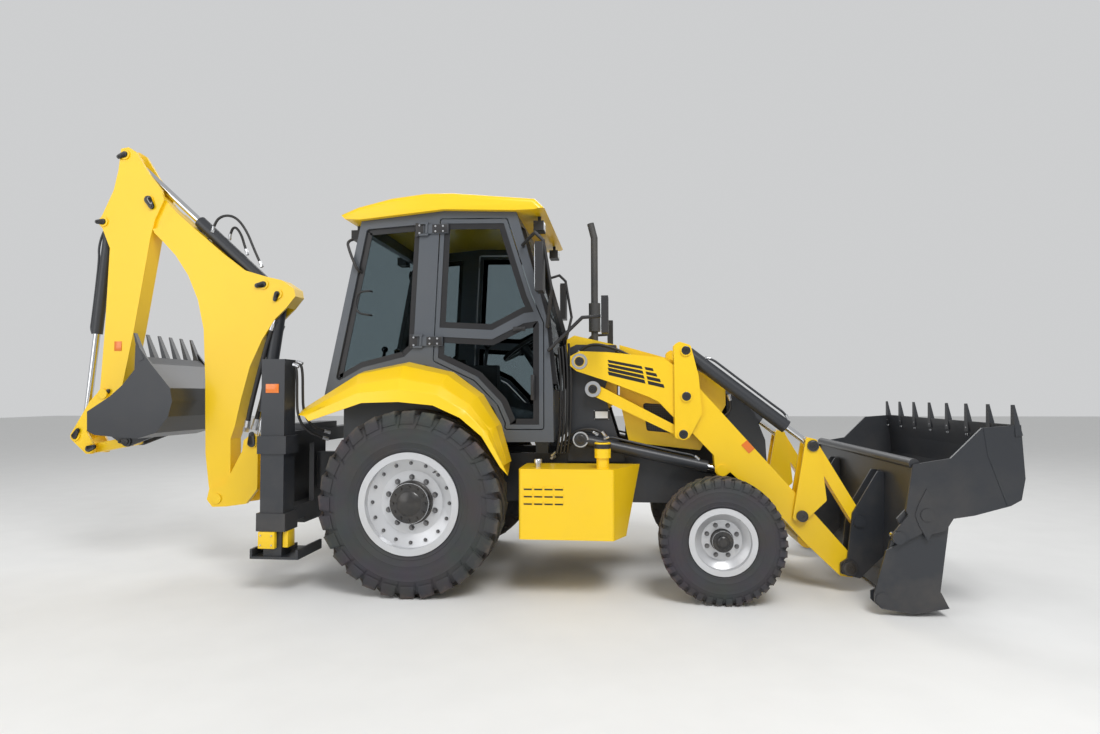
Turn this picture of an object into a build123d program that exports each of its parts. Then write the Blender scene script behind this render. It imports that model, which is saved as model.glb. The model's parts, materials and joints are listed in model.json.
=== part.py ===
from build123d import *
import math
import os

# Backhoe loader. Millimetres, +X forward, +Y left, +Z up.
# The model is drawn with X = 0 on the rear axle and Z = 0 on the ground, then moved
# so that its origin is the middle of its footprint on the ground.

# ---------------------------------------------------------------- clearances
FIT = 0.5              # side gap of an eye in its clevis, radial gap of a pin
RUN = 8                # gap between plates that swing past each other

# ---------------------------------------------------------------- wheels
WHEELBASE = 2233
REAR_R = 680           # rear tyre, out to the lugs' tips
REAR_W = 375
REAR_Y = 893.5         # middle of the rear tyre
REAR_RIM_R = 372       # rim flange
REAR_BEAD_R = 335
REAR_BEAD_HALF = 150
FRONT_R = 440
FRONT_W = 250
FRONT_Y = 890
FRONT_RIM_R = 235
FRONT_BEAD_R = 208
FRONT_BEAD_HALF = 98
RIM_WALL = 12
REAR_LUGS = 28         # on each side of a rear tyre
SEAT_GAP = 0.1         # between a tyre and its rim
LUG_DEPTH = 24
KINGPIN_Y = 745
KINGPIN_R = 52

# ---------------------------------------------------------------- main frame
RAIL_Y = 385           # middle of a side rail
RAIL_W = 90
RAIL_LOW = 620
RAIL_TOP = 1000
RAIL_REAR = -977
RAIL_FRONT = 2560
TOWER_Y = 450          # middle of a tower plate
TOWER_T = 40

TOW_HOLE_X = RAIL_FRONT + 65
TOW_HOLE_R = 20
TOW_LUG_Z = 680
TOW_LUG_T = 35

# ---------------------------------------------------------------- loader
ARM_Y = 525            # middle plane of arm, rams and links, on each side
ARM_W = 100
PLATE_T = 20
ARM_PIN = (1212, 1723)          # arm on tower
LINK_BASE = (1314, 1508)        # levelling link on tower
LEVER_TOP = (2024, 1799)        # tilt ram on lever
LEVER_MID = (2024, 1451)        # lever on arm
LEVER_LOW = (1999, 1164)        # levelling link on lever
LIFT_BASE = (1217, 1118)        # lift ram on tower
LIFT_EYE = (2288, 892)          # lift ram on arm
CRANK_TOP = (2944, 1083)        # tilt rod and front link on bell crank
CRANK_PIN = (2858, 564)         # bell crank on arm
BUCKET_PIN = (3187, 192)        # bucket on arm
BUCKET_LINK = (3264, 531)       # front link on bucket
CROSS_TUBE = (2925, 380)
CROSS_TUBE_R = 75
LIFT_BORE_R = 45
LIFT_ROD_R = 27
TILT_BORE_R = 52
TILT_ROD_R = 25
MAIN_PIN_R = 32
PIN_HEAD_R = 42
PIN_HEAD_T = 12

# ---------------------------------------------------------------- loader bucket
BUCKET_HALF = 1120
JAW_PLATE_T = 20
END_PLATE_T = 18
SHEET_T = 14
JAW_PIN = (3525, 672)
JAW_RAM_EYE = (3345, 520)
JAW_RAM_BASE = (3243, 112)
BLADE_TIP = (3662, 62)
JAW_TEETH = 8
TOOTH_LEN = 150

# ---------------------------------------------------------------- cab
CAB_HALF = 750
CAB_POST_T = 60
CAB_REAR_LOW = (-776, 1453)
CAB_REAR_TOP = (-483, 2830)
CAB_ROOF_KNEE = (184, 2890)
CAB_FRONT_TOP = (745, 2866)
CAB_FRONT_KNEE = (970, 2064)
CAB_FRONT_SILL = (1023, 1502)
CAB_FRONT_LOW = (1027, 1110)
CAB_FLOOR_Z = 1110
B_POST_LOW = (30, 1740)
B_POST_TOP = (90, 2850)
GLASS_T = 6
DOOR_T = 30
DOOR_GAP = 8

# ---------------------------------------------------------------- fenders
FENDER_LIP_Y = 1090
FENDER_T = 12
# angle round the rear axle from +X, crown radius at the cab, lip radius at the outside
FENDER_SECTIONS = [
    (22, 762, 747),
    (42, 845, 747),
    (58, 930, 747),
    (75, 995, 749),
    (95, 1045, 752),
    (115, 1072, 818),
    (141, 1122, 962),
]

# ---------------------------------------------------------------- backhoe
HOE_Y = -300           # middle plane of the backhoe, shifted to the right
SWING_X = -1430
BOOM_FOOT = (-1860, 600)
BOOM_RAM_BASE = (-1550, 1067)
BOOM_HUMP = (-1365, 2326)
BOOM_TIP = (-2560, 3175)
DIPPER_RAM_BASE = (-1490, 2412)
DIPPER_TOP = (-2790, 3584)
BUCKET_RAM_BASE = (-2982, 2994)
LEVER_PIVOT = (-2936, 1484)
LEVER_ROD = (-3185, 1119)
LEVER_LINK = (-3052, 1009)
HOE_BUCKET_PIN = (-2911, 1225)
HOE_BUCKET_LINK = (-2700, 1075)
BOOM_HALF = 80
DIPPER_HALF = 78
HOE_BUCKET_HALF = 390
HOE_TEETH = 6

# ---------------------------------------------------------------- stabilizers
LEG_X = -1037
LEG_Y = 965
LEG_HOUSING = 180
LEG_HOUSING_W = 170
LEG_TOP = 1737
LEG_WALL = 14
LEG_GAP = 6
HOUSING_LOW = 466
FOOT_Z = 262


# ---------------------------------------------------------------- drawing helpers
def side_view(points, fillet_r=0):
    """A closed outline seen from the right: x forward, z up."""
    sketch = Polygon(*points, align=None)
    if fillet_r:
        sketch = fillet(sketch.vertices(), fillet_r)
    return sketch


def across(sketch, y0, y1):
    """Extrude a side view between two Y planes."""
    low, high = min(y0, y1), max(y0, y1)
    return extrude(Plane.XZ.offset(-high) * sketch, amount=high - low, dir=(0, -1, 0))


def plan(sketch, z0, z1):
    """Extrude a top view between two heights."""
    return extrude(Plane.XY.offset(z0) * sketch, amount=z1 - z0, dir=(0, 0, 1))


def block(x0, x1, y0, y1, z0, z1):
    return Pos((x0 + x1) / 2, (y0 + y1) / 2, (z0 + z1) / 2) * Box(
        abs(x1 - x0), abs(y1 - y0), abs(z1 - z0))


def pin(at, r, y0, y1):
    """A round bar along Y at a side-view point."""
    return across(Pos(*at) * Circle(r), y0, y1)


def bar(a, b, r):
    """A round bar between two points in space."""
    start, end = Vector(*a), Vector(*b)
    return extrude(Plane(origin=start, z_dir=end - start) * Circle(r), amount=(end - start).length)


def bar_in_plane(a, b, r, y):
    """A round bar between two side-view points at one Y."""
    return bar((a[0], y, a[1]), (b[0], y, b[1]), r)


def strap(a, b, ra, rb):
    """Side view of a link: two round ends and their tangents."""
    return make_hull((Pos(*a) * Circle(ra)).edges() + (Pos(*b) * Circle(rb)).edges())


def chain_bar(points, r):
    """A bent round tube through points in space, with ball corners."""
    body = bar(points[0], points[1], r)
    for a, b in zip(points[1:], points[2:]):
        body += bar(a, b, r)
        body += Pos(*a) * Sphere(r)
    return body


def toward(a, b, distance):
    """The point at a distance from a on the way to b."""
    length = math.dist(a, b)
    return tuple(p + (q - p) * distance / length for p, q in zip(a, b))


def both(make):
    """The right-hand solid and its mirror image."""
    right = make(-1)
    left = make(1)
    return Compound(list(right.solids()) + list(left.solids()))


def shell_of(*parts):
    return Compound([solid for part in parts for solid in part.solids()])


def pin_heads(points, y, side):
    """Round heads on the outer face of a plate whose face is at y."""
    heads = pin(points[0], PIN_HEAD_R, y, y + side * PIN_HEAD_T)
    for at in points[1:]:
        heads += pin(at, PIN_HEAD_R, y, y + side * PIN_HEAD_T)
    return heads


# ---------------------------------------------------------------- derived planes
EYE_HALF = ARM_W / 2 + RUN - FIT          # eyes between the lever and crank plates
PLATE_IN = ARM_W / 2 + RUN                # from the arm's middle plane to a plate's inner face
PLATE_OUT = PLATE_IN + PLATE_T


# ---------------------------------------------------------------- wheels
def tyre(radius, width, bead, rim_r, bead_half, lugs, depth):
    """A tyre about the Y axis, as flat facets. Its lugs alternate left and right of a middle rib."""
    half = width / 2
    wall = radius - bead
    rib = half * 0.10
    steps = 2 * lugs
    seat = bead / math.cos(math.pi / steps) + SEAT_GAP      # the flats stay outside the round rim
    foot = [(seat, bead_half), (rim_r + 3, bead_half), (bead + wall * 0.50, half)]
    lug = foot + [(radius - wall * 0.14, half * 0.96), (radius, half * 0.74), (radius, rib)]
    groove = foot + [(radius - wall * 0.14 - depth * 0.6, half * 0.94),
                     (radius - depth, half * 0.70), (radius - depth, rib)]

    def face(rings, number, side):
        """The facet between two rings (r, y) over one step, on one side of the middle."""
        corners = [(rings[0], number), (rings[1], number),
                   (rings[1], number + 1), (rings[0], number + 1)]
        return facet([point(ring, n, side) for ring, n in corners])

    def point(ring, number, side):
        angle = 2 * math.pi * (number % steps) / steps
        return Vector(ring[0] * math.cos(angle), side * ring[1], ring[0] * math.sin(angle))

    faces = []
    for number in range(steps):
        for side in (-1, 1):
            low = depth and (number % 2 == 0) == (side == 1)
            rings = groove + [(radius, rib)] if low else lug
            faces += [face(pair, number, side) for pair in zip(rings, rings[1:])]
            if depth:
                step = lug[2:] + groove[:2:-1]
                faces.append(facet([point(ring, number, side) for ring in step]))
        faces.append(face(((radius, rib), (radius, -rib)), number, 1))
        faces.append(face(((seat, bead_half), (seat, -bead_half)), number, 1))
    return Solid(Shell(faces))


def facet(corners):
    """One flat face through its corners."""
    return Face(Wire.make_polygon(corners))


def rim(rim_r, bead, bead_half, disc_y, hub_r, hub_y):
    """A dished rim about the Y axis, outside towards +Y, with its hub."""
    inner = bead - RIM_WALL
    flange = bead_half + RIM_WALL
    section = [
        (hub_r * 0.5, disc_y),
        (inner * 0.72, disc_y),
        (inner, disc_y + RIM_WALL * 3),
        (inner, flange),
        (rim_r, flange),
        (rim_r, bead_half),
        (bead, bead_half),
        (bead, -bead_half),
        (rim_r, -bead_half),
        (rim_r, -flange),
        (inner, -flange),
        (inner, disc_y + RIM_WALL),
        (inner * 0.72, disc_y - RIM_WALL),
        (hub_r * 0.5, disc_y - RIM_WALL),
    ]
    body = revolve(Polygon(*section, align=None), Axis.Y)
    hub = pin((0, 0), hub_r, disc_y - RIM_WALL, hub_y)
    return body + hub


def place_wheel(solid, x, y, z, side):
    """Put a wheel drawn about the Y axis, outside towards +Y, on one side."""
    turned = solid if side > 0 else mirror(solid, about=Plane.XZ)
    return Pos(x, side * y, z) * turned


REAR_DISC = 66         # disc ahead of the rear tyre's middle
FRONT_DISC = 20
REAR_HUB_R = 147
FRONT_HUB_R = 74


def wheel_nodes():
    nodes = {}
    rear_tyre = tyre(REAR_R, REAR_W, REAR_BEAD_R, REAR_RIM_R, REAR_BEAD_HALF, REAR_LUGS, LUG_DEPTH)
    rear_rim = rim(REAR_RIM_R, REAR_BEAD_R, REAR_BEAD_HALF, REAR_DISC, REAR_HUB_R,
                   REAR_DISC + 70)
    front_tyre = tyre(FRONT_R, FRONT_W, FRONT_BEAD_R, FRONT_RIM_R, FRONT_BEAD_HALF, 20, 0)
    front_rim = rim(FRONT_RIM_R, FRONT_BEAD_R, FRONT_BEAD_HALF, FRONT_DISC, FRONT_HUB_R,
                    FRONT_DISC + 72)
    for name, side in (("right", -1), ("left", 1)):
        nodes[f"rear_tyre_{name}"] = place_wheel(rear_tyre, 0, REAR_Y, REAR_R, side)
        nodes[f"rear_rim_{name}"] = place_wheel(rear_rim, 0, REAR_Y, REAR_R, side)
        nodes[f"front_tyre_{name}"] = place_wheel(front_tyre, WHEELBASE, FRONT_Y, FRONT_R, side)
        nodes[f"front_rim_{name}"] = place_wheel(front_rim, WHEELBASE, FRONT_Y, FRONT_R, side)
    return nodes


# ---------------------------------------------------------------- axles and steering
AXLE_TUBE_R = 105
AXLE_BEAM = 62         # half height of the front beam
FRONT_HUB_IN = FRONT_Y + FRONT_DISC - RIM_WALL
REAR_HUB_IN = REAR_Y + REAR_DISC - RIM_WALL


def axles():
    """Rear axle housing with its reduction drums, and the front beam with its yokes."""
    rear = pin((0, REAR_R), AXLE_TUBE_R, -REAR_HUB_IN + 190, REAR_HUB_IN - 190)
    bulb = Polygon((0, -210), (110, -210), (190, -80), (190, 80), (110, 210), (0, 210), align=None)
    rear += Pos(-30, 0, REAR_R) * revolve(bulb, Axis.Y)
    for side in (-1, 1):
        rear += pin((0, REAR_R), 175, side * (REAR_HUB_IN - 300), side * (REAR_HUB_IN - FIT))
        rear += block(-90, 90, side * (RAIL_Y - 40), side * (RAIL_Y + 40), REAR_R, RAIL_ARCH)
    beam = side_view([
        (WHEELBASE - 70, FRONT_R - AXLE_BEAM), (WHEELBASE + 70, FRONT_R - AXLE_BEAM),
        (WHEELBASE + 70, FRONT_R + AXLE_BEAM), (WHEELBASE - 70, FRONT_R + AXLE_BEAM)], 20)
    front = across(beam, -KINGPIN_Y + 80, KINGPIN_Y - 80)
    front += block(WHEELBASE - 55, WHEELBASE + 55, -70, 70, FRONT_R, FRONT_BOLSTER_LOW)
    for side in (-1, 1):
        for z0, z1 in ((FRONT_R - 92, FRONT_R - 62), (FRONT_R + 62, FRONT_R + 92)):
            front += Pos(WHEELBASE, side * KINGPIN_Y, 0) * Pos(0, 0, (z0 + z1) / 2) * Cylinder(
                KINGPIN_R, z1 - z0)
            front += block(WHEELBASE - KINGPIN_R, WHEELBASE + KINGPIN_R,
                           side * (KINGPIN_Y - 82), side * KINGPIN_Y, z0, z1)
    return shell_of(rear, front)


RAIL_ARCH = 800        # underside of the rails over the rear axle
FRONT_BOLSTER_LOW = 560


def knuckle(side):
    """A steering knuckle: its barrel on the kingpin, stub axle and steering arm."""
    y = side * KINGPIN_Y
    half = AXLE_BEAM - FIT
    body = Pos(WHEELBASE, y, FRONT_R) * Cylinder(KINGPIN_R, 2 * half)
    body += pin((WHEELBASE, FRONT_R), 40, y, side * (FRONT_HUB_IN - FIT))
    body += block(WHEELBASE - 150, WHEELBASE, y - 20, y + 20, FRONT_R - 20, FRONT_R + 20)
    return body


# ---------------------------------------------------------------- chassis
RAIL_NOSE = ((2150, 860), (RAIL_FRONT, 790))


def rail_top(x):
    """Height of a rail's sloping top ahead of the engine."""
    (x0, z0), (x1, z1) = RAIL_NOSE
    return z0 + (z1 - z0) * (x - x0) / (x1 - x0)


def chassis_frame():
    """Two side rails arched over the rear axle, cross members, and the loader towers."""
    rail = side_view([
        (RAIL_REAR, 700), (-300, 700), (-220, RAIL_ARCH), (220, RAIL_ARCH), (330, RAIL_LOW),
        (RAIL_FRONT, RAIL_LOW), RAIL_NOSE[1], RAIL_NOSE[0], (1850, RAIL_TOP),
        (RAIL_REAR, RAIL_TOP)])
    tower = side_view([
        (1112, RAIL_TOP - 60), (1112, 1830), (1180, 1862), (1500, 1856),
        (1395, 1480), (1560, RAIL_TOP - 60)], 12)
    cross = [(-930, 750, 950), (560, 640, 760), (1500, 640, 760), (2500, 640, 760)]
    frame = block(WHEELBASE - 130, WHEELBASE + 130, -RAIL_Y, RAIL_Y, FRONT_BOLSTER_LOW, 720)
    for side in (-1, 1):
        frame += across(rail, side * (RAIL_Y - RAIL_W / 2), side * (RAIL_Y + RAIL_W / 2))
        frame += across(tower, side * (TOWER_Y - TOWER_T / 2), side * (TOWER_Y + TOWER_T / 2))
    for x, z0, z1 in cross:
        frame += block(x - 40, x + 40, -RAIL_Y, RAIL_Y, z0, z1)
    frame += block(RAIL_FRONT - 30, TOW_HOLE_X, -60, 60, TOW_LUG_Z, TOW_LUG_Z + TOW_LUG_T)
    frame += Pos(TOW_HOLE_X, 0, TOW_LUG_Z + TOW_LUG_T / 2) * Cylinder(60, TOW_LUG_T)
    frame -= Pos(TOW_HOLE_X, 0, TOW_LUG_Z) * Cylinder(TOW_HOLE_R, 3 * TOW_LUG_T)
    tower_face = TOWER_Y + TOWER_T / 2
    eye_face = ARM_Y - ARM_W / 2 - FIT
    for side in (-1, 1):
        for at, r in ((ARM_PIN, 62), (LINK_BASE, 46), (LIFT_BASE, 52)):
            frame += pin(at, r, side * tower_face, side * eye_face)
    return frame


# ---------------------------------------------------------------- engine, exhaust
EXHAUST = (1320, -330)
EXHAUST_R = 28
EXHAUST_IN_Y = -185
EXHAUST_TURN_Z = 1600


def engine():
    """The engine as one plain block, with the exhaust that stands on it."""
    body = block(1560, 2360, -240, 240, 840, 1440)
    mount = RAIL_Y - RAIL_W / 2 - FIT
    body += block(1700, 1770, -mount, mount, 860, 930) + block(2240, 2300, -mount, mount, 760, 845)
    x, y = EXHAUST
    body += chain_bar([(1620, EXHAUST_IN_Y, 1430), (1620, EXHAUST_IN_Y, EXHAUST_TURN_Z),
                       (x, EXHAUST_IN_Y, EXHAUST_TURN_Z), (x, EXHAUST_IN_Y, 1690),
                       (x, y, 1790), (x, y, 2740), (x - 30, y, 2860)], EXHAUST_R)
    body += Pos(x, y, 2090) * Cylinder(47, 230)
    return body


# ---------------------------------------------------------------- hood, cowl, nose
HOOD_HALF = TOWER_Y - TOWER_T / 2 - 15
HOOD_T = 14
HOOD_REAR = 1520
HOOD_HINGE = (1600, 1807)
HOOD_BRACKET_T = 15


def hood_top(x):
    """Height of the hood's top over the machine's length."""
    return 1860 - (x - HOOD_REAR) * 0.29 - max(0, x - 1880) ** 2 * 0.00045


def hood():
    """Top sheet and two side sheets, open below and ahead."""
    stations = [HOOD_REAR, 1700, 1880, 2050, 2200, 2340]
    top = [(x, hood_top(x)) for x in stations]
    outer = side_view(top + [(2340, 1380), (2140, 1030), (1590, 1090), (HOOD_REAR, 1420)])
    inner = side_view([(x, z - HOOD_T) for x, z in top] + [
        (2341, 1300), (2241, 1000), (1500, 1000), (1495, 1830)])
    body = across(outer, -HOOD_HALF, HOOD_HALF)
    body -= across(inner, -HOOD_HALF + HOOD_T, HOOD_HALF - HOOD_T)
    opening = side_view([(1700, 1400), (2100, 1370), (2060, 1150), (1730, 1180)], 20)
    body -= across(opening, -HOOD_HALF - 1, HOOD_HALF + 1)
    return body


def cowl():
    """The fixed cover between the hood and the cab's front."""
    outline = side_view([
        (1100, 1300), (1100, 1905), (1160, 1940), (1460, 1868), (1498, 1858), (1498, 1424),
        (1380, 1300)])
    inner = side_view([
        (1060, 1250), (1114, 1890), (1165, 1922), (1486, 1845), (1486, 1420), (1370, 1250)])
    body = across(outline, -HOOD_HALF, HOOD_HALF)
    body -= across(inner, -HOOD_HALF + HOOD_T, HOOD_HALF - HOOD_T)
    body -= Pos(EXHAUST[0], EXHAUST[1], 1850) * Cylinder(EXHAUST_R + 20, 300)
    body -= bar((1470, EXHAUST_IN_Y, EXHAUST_TURN_Z), (1520, EXHAUST_IN_Y, EXHAUST_TURN_Z),
                EXHAUST_R + 20)
    face = HOOD_HALF - HOOD_T - FIT
    bracket = strap((1492, 1690), HOOD_HINGE, 14, 10)
    for side in (-1, 1):
        body += across(bracket, side * face, side * (face - HOOD_BRACKET_T))
        body += block(1180, 1250, side * (HOOD_HALF - 1), side * (TOWER_Y - TOWER_T / 2 - FIT),
                      1480, 1560)
    return body


NOSE_FRONT = 2680


def nose():
    """The grille: a curved front shell on the frame, open behind."""
    outer = side_view([
        (2350, 840), (2350, 1470), (2440, 1440), (2560, 1320), (2640, 1110), (2655, 840)])
    inner = side_view([
        (2340, 800), (2340, 1450), (2432, 1424), (2548, 1308), (2626, 1106), (2641, 800)])
    body = across(outer, -400, 400)
    body -= across(inner, -400 + HOOD_T, 400 - HOOD_T)
    for side in (-1, 1):
        body += block(2380, 2440, side * 350, side * 400, rail_top(2380) + FIT, 850)
    return body


# ---------------------------------------------------------------- cab
def side_outline():
    """The cab's side: rear post, roof rail, leaning front post, and the arch over the wheel."""
    arch = [(r * math.cos(math.radians(a)), REAR_R + r * math.sin(math.radians(a)))
            for a, r in ((33, 800), (50, 890), (68, 962), (88, 1018), (108, 1046), (125, 1062))]
    return [CAB_REAR_LOW, CAB_REAR_TOP, CAB_ROOF_KNEE, CAB_FRONT_TOP, CAB_FRONT_KNEE,
            CAB_FRONT_SILL, CAB_FRONT_LOW, (670, CAB_FLOOR_Z)] + arch


def door_opening():
    arch = [(r * math.cos(math.radians(a)), REAR_R + r * math.sin(math.radians(a)))
            for a, r in ((41, 868), (50, 925), (65, 985), (85, 1050))]
    return [(146, 2834), (676, 2822), (860, 2236), (957, 2012), (957, 1200), (645, 1200)] + arch


def rear_side_opening():
    arch = [(r * math.cos(math.radians(a)), REAR_R + r * math.sin(math.radians(a)))
            for a, r in ((97, 1090), (115, 1105))]
    return [(-10, 2790), (-60, 1830)] + arch + [(-690, 1560), (-440, 2765)]


def cab_frame():
    """Floor tub, two side frames with their openings, and the cross beams."""
    side_sketch = side_view(side_outline())
    side_sketch -= side_view(door_opening(), 25)
    side_sketch -= side_view(rear_side_opening(), 25)
    inner_y = CAB_HALF - CAB_POST_T
    body = block(-640, 1020, -inner_y, inner_y, CAB_FLOOR_Z, CAB_FLOOR_Z + 40)
    body += block(-640, -610, -inner_y, inner_y, CAB_FLOOR_Z, 1480)
    for side in (-1, 1):
        body += across(side_sketch, side * inner_y, side * CAB_HALF)
        wall = side_view([(-640, CAB_FLOOR_Z), (1020, CAB_FLOOR_Z), (1020, 1300), (560, 1400),
                          (330, 1640), (80, 1740), (-330, 1740), (-640, 1500)])
        body += across(wall, side * (inner_y - 20), side * inner_y)
    for side in (-1, 1):
        for x, z in (DOOR_HINGE_TOP, DOOR_HINGE_LOW):
            for z0, z1 in ((z + 36 + HINGE_GAP, z + 52), (z - 52, z - 36 - HINGE_GAP)):
                body += block(x - 60, x + 14, side * (CAB_HALF - 1), side * (HINGE_Y + 8), z0, z1)
            body += block(x - 90, x - 20, side * (CAB_HALF - 1), side * (CAB_HALF + 8),
                          z - 52, z + 52)
    cross = [(-500, -440, 2740, 2830), (660, 740, 2790, 2866), (-780, -610, 1420, 1500),
             (940, 1020, 1110, 1500)]
    for x0, x1, z0, z1 in cross:
        body += block(x0, x1, -inner_y, inner_y, z0, z1)
    for x in (-560, 900):
        for side in (-1, 1):
            body += block(x - 50, x + 50, side * 340, side * 430, RAIL_TOP, CAB_FLOOR_Z)
    return body


def cab_roof():
    """A moulded roof with rounded edges and a front visor."""
    seat_line = [(x, z + FIT) for x, z in (CAB_FRONT_TOP, CAB_ROOF_KNEE, CAB_REAR_TOP)]
    outline = side_view([
        (-640, 2880), (-500, 2935), (-230, 2996), (42, 3025), (254, 3021), (888, 2957),
        (964, 2884), (880, 2868)] + seat_line + [(-600, 2840)])
    body = across(outline, -800, 800)
    tops = [edge for edge in body.edges().filter_by(Plane.XZ)
            if edge.center().Z > 2900]
    return fillet(tops, 40)


def cab_glass():
    """Windscreen, rear window and the two rear side windows."""
    half = CAB_HALF - CAB_POST_T - FIT
    front = side_view([(747, 2786), (753, 2786), (960, 2060), (1012, 1502), (1006, 1502),
                       (954, 2060)])
    rear = side_view([(-490, 2738), (-484, 2738), (-716, 1502), (-722, 1502)])
    pane = offset(side_view(rear_side_opening(), 25), -FIT)
    parts = [across(front, -half, half), across(rear, -half, half)]
    for side in (-1, 1):
        parts.append(across(pane, side * (CAB_HALF - 20), side * (CAB_HALF - 20 - GLASS_T)))
    return shell_of(*parts)


DOOR_HINGE_TOP = (45, 2750)
DOOR_HINGE_LOW = (2, 1880)
HINGE_R = 12
HINGE_GAP = 0.9        # end play of a hinge whose pins lean
HINGE_Y = CAB_HALF + 14


def hinge_barrel(x, y, z, half):
    """A round barrel on a door's leaning hinge line."""
    lean = (DOOR_HINGE_TOP[0] - DOOR_HINGE_LOW[0]) / (DOOR_HINGE_TOP[1] - DOOR_HINGE_LOW[1])
    return bar((x - lean * half, y, z - half), (x + lean * half, y, z + half), HINGE_R)


def door_outline():
    return offset(side_view(door_opening(), 25), -DOOR_GAP)


def door_rail(gap):
    """The middle rail between a door's two panes, rising towards its front edge."""
    return side_view([
        (60, 1990 + gap), (556, 1961 + gap), (803, 2087 + gap), (1000, 2110 + gap),
        (1000, 2040 - gap), (800, 2010 - gap), (556, 1890 - gap), (60, 1920 - gap)])


DOOR_BORDER = 32


def door(side):
    """A door's frame round its two panes, with the middle rail and hinge leaves."""
    outline = door_outline()
    panes = offset(outline, -DOOR_BORDER) - door_rail(0)
    y = side * (CAB_HALF - 5)
    body = across(outline, y, y - side * DOOR_T)
    body -= across(panes, y + side, y - side * (DOOR_T + 1))
    for x, z in (DOOR_HINGE_TOP, DOOR_HINGE_LOW):
        leaf = block(x, x + 170, side * (CAB_HALF + FIT), side * HINGE_Y, z - 36, z + 36)
        leaf += block(x + 112, x + 170, y, side * HINGE_Y, z - 36, z + 36)
        body += leaf + hinge_barrel(x, side * HINGE_Y, z, 36)
    return body


def door_glass(side):
    panes = offset(door_outline(), -DOOR_BORDER - FIT) - door_rail(FIT)
    y = side * (CAB_HALF - 12)
    return across(panes, y, y - side * GLASS_T)


# ---------------------------------------------------------------- cab interior
def seat():
    """Suspension base, cushion, back and two armrests."""
    body = block(-130, 270, -180, 180, CAB_FLOOR_Z + 40, CAB_FLOOR_Z + 330)
    body += fillet(block(-190, 310, -250, 250, CAB_FLOOR_Z + 330, CAB_FLOOR_Z + 450)
                   .edges().filter_by(Axis.Z), 40)
    back = side_view([(-190, 1540), (-90, 1540), (-170, 2150), (-240, 2150)], 20)
    body += across(back, -230, 230)
    for side in (-1, 1):
        body += block(-180, 120, side * 250, side * 300, 1740, 1790)
        body += block(-180, -140, side * 220, side * 300, 1560, 1790)
    return body


def controls():
    """Steering column and wheel, dash, loader lever and the two backhoe levers."""
    body = block(880, 940, -260, 260, CAB_FLOOR_Z + 40, 1760)
    column = bar((900, 0, 1560), (690, 0, 1880), 38)
    body += column
    ring = extrude(Plane(origin=(690, 0, 1880), z_dir=(-210, 0, 320)) * (Circle(206) - Circle(176)),
                   amount=14, both=True)
    spoke = Plane(origin=(690, 0, 1880), z_dir=(-210, 0, 320)) * Box(360, 40, 18)
    body += ring + spoke
    body += block(330, 560, -560, -440, CAB_FLOOR_Z + 40, 1700)
    body += bar((450, -500, 1700), (470, -500, 1850), 14) + Pos(470, -500, 1860) * Sphere(28)
    rear = block(-600, -480, -330, 330, CAB_FLOOR_Z + 40, 1640)
    for y in (-160, 160):
        rear += bar((-540, y, 1640), (-500, y, 1850), 14) + Pos(-500, y, 1860) * Sphere(28)
    return shell_of(body, rear)


# ---------------------------------------------------------------- fenders, tanks
def fender_section(angle, crown_r, lip_r):
    """A closed section of the fender in the plane through the axle at an angle."""
    drop = crown_r - lip_r
    span = FENDER_LIP_Y - CAB_HALF
    outer = [(0, crown_r), (0.45, crown_r - drop * 0.10 - 4), (0.8, crown_r - drop * 0.42 - 8),
             (0.96, lip_r + drop * 0.25 + 4), (1.0, lip_r - 12)]
    points = [(CAB_HALF + t * span, r) for t, r in outer]
    points += [(y - (FENDER_T if t else 0), r - FENDER_T)
               for t, (y, r) in reversed(list(enumerate(points[:-1])))]
    points.insert(len(outer), (FENDER_LIP_Y - FENDER_T, lip_r - 12))
    a = math.radians(angle)
    corners = [(r * math.cos(a), y, REAR_R + r * math.sin(a)) for y, r in points]
    return make_face(Polyline(*corners, close=True))


def fender(side):
    body = loft([fender_section(*row) for row in FENDER_SECTIONS], ruled=True)
    return body if side > 0 else mirror(body, about=Plane.XZ)


TANK_X = (803, 1476)
TANK_FRONT_IN = 1668
TANK_Z = (440, 938)
TANK_IN = 600
TANK_OUT = 1030


def side_tank(side):
    """A side tank: square at the rear, its front face slanting in to the frame."""
    top = Polygon((TANK_X[0], TANK_IN), (TANK_FRONT_IN, TANK_IN), (TANK_X[1], TANK_OUT),
                  (TANK_X[0], TANK_OUT), align=None)
    body = plan(top, TANK_Z[0], TANK_Z[1])
    slope = side_view([(1400, TANK_Z[0] - 1), (1700, TANK_Z[0] - 1), (1700, TANK_Z[1] + 1),
                       (TANK_FRONT_IN + 2, TANK_Z[1] + 1), (TANK_FRONT_IN - 104, TANK_Z[0] - 1)])
    body -= across(slope, TANK_IN - 1, TANK_OUT + 1)
    vertical = body.edges().filter_by(Axis.Z)
    body = fillet(vertical.filter_by(lambda edge: edge.center().Y > TANK_OUT - 5), 25)
    body += block(900, 1000, RAIL_Y + RAIL_W / 2, TANK_IN + 1, 650, 720)
    body += block(1350, 1450, RAIL_Y + RAIL_W / 2, TANK_IN + 1, 650, 720)
    body += Pos(1400, 930, TANK_Z[1] + 40) * Cylinder(45, 82)
    body += Pos(1400, 930, TANK_Z[1] + 130) * Cylinder(58, 110)
    return body if side > 0 else mirror(body, about=Plane.XZ)


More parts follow.
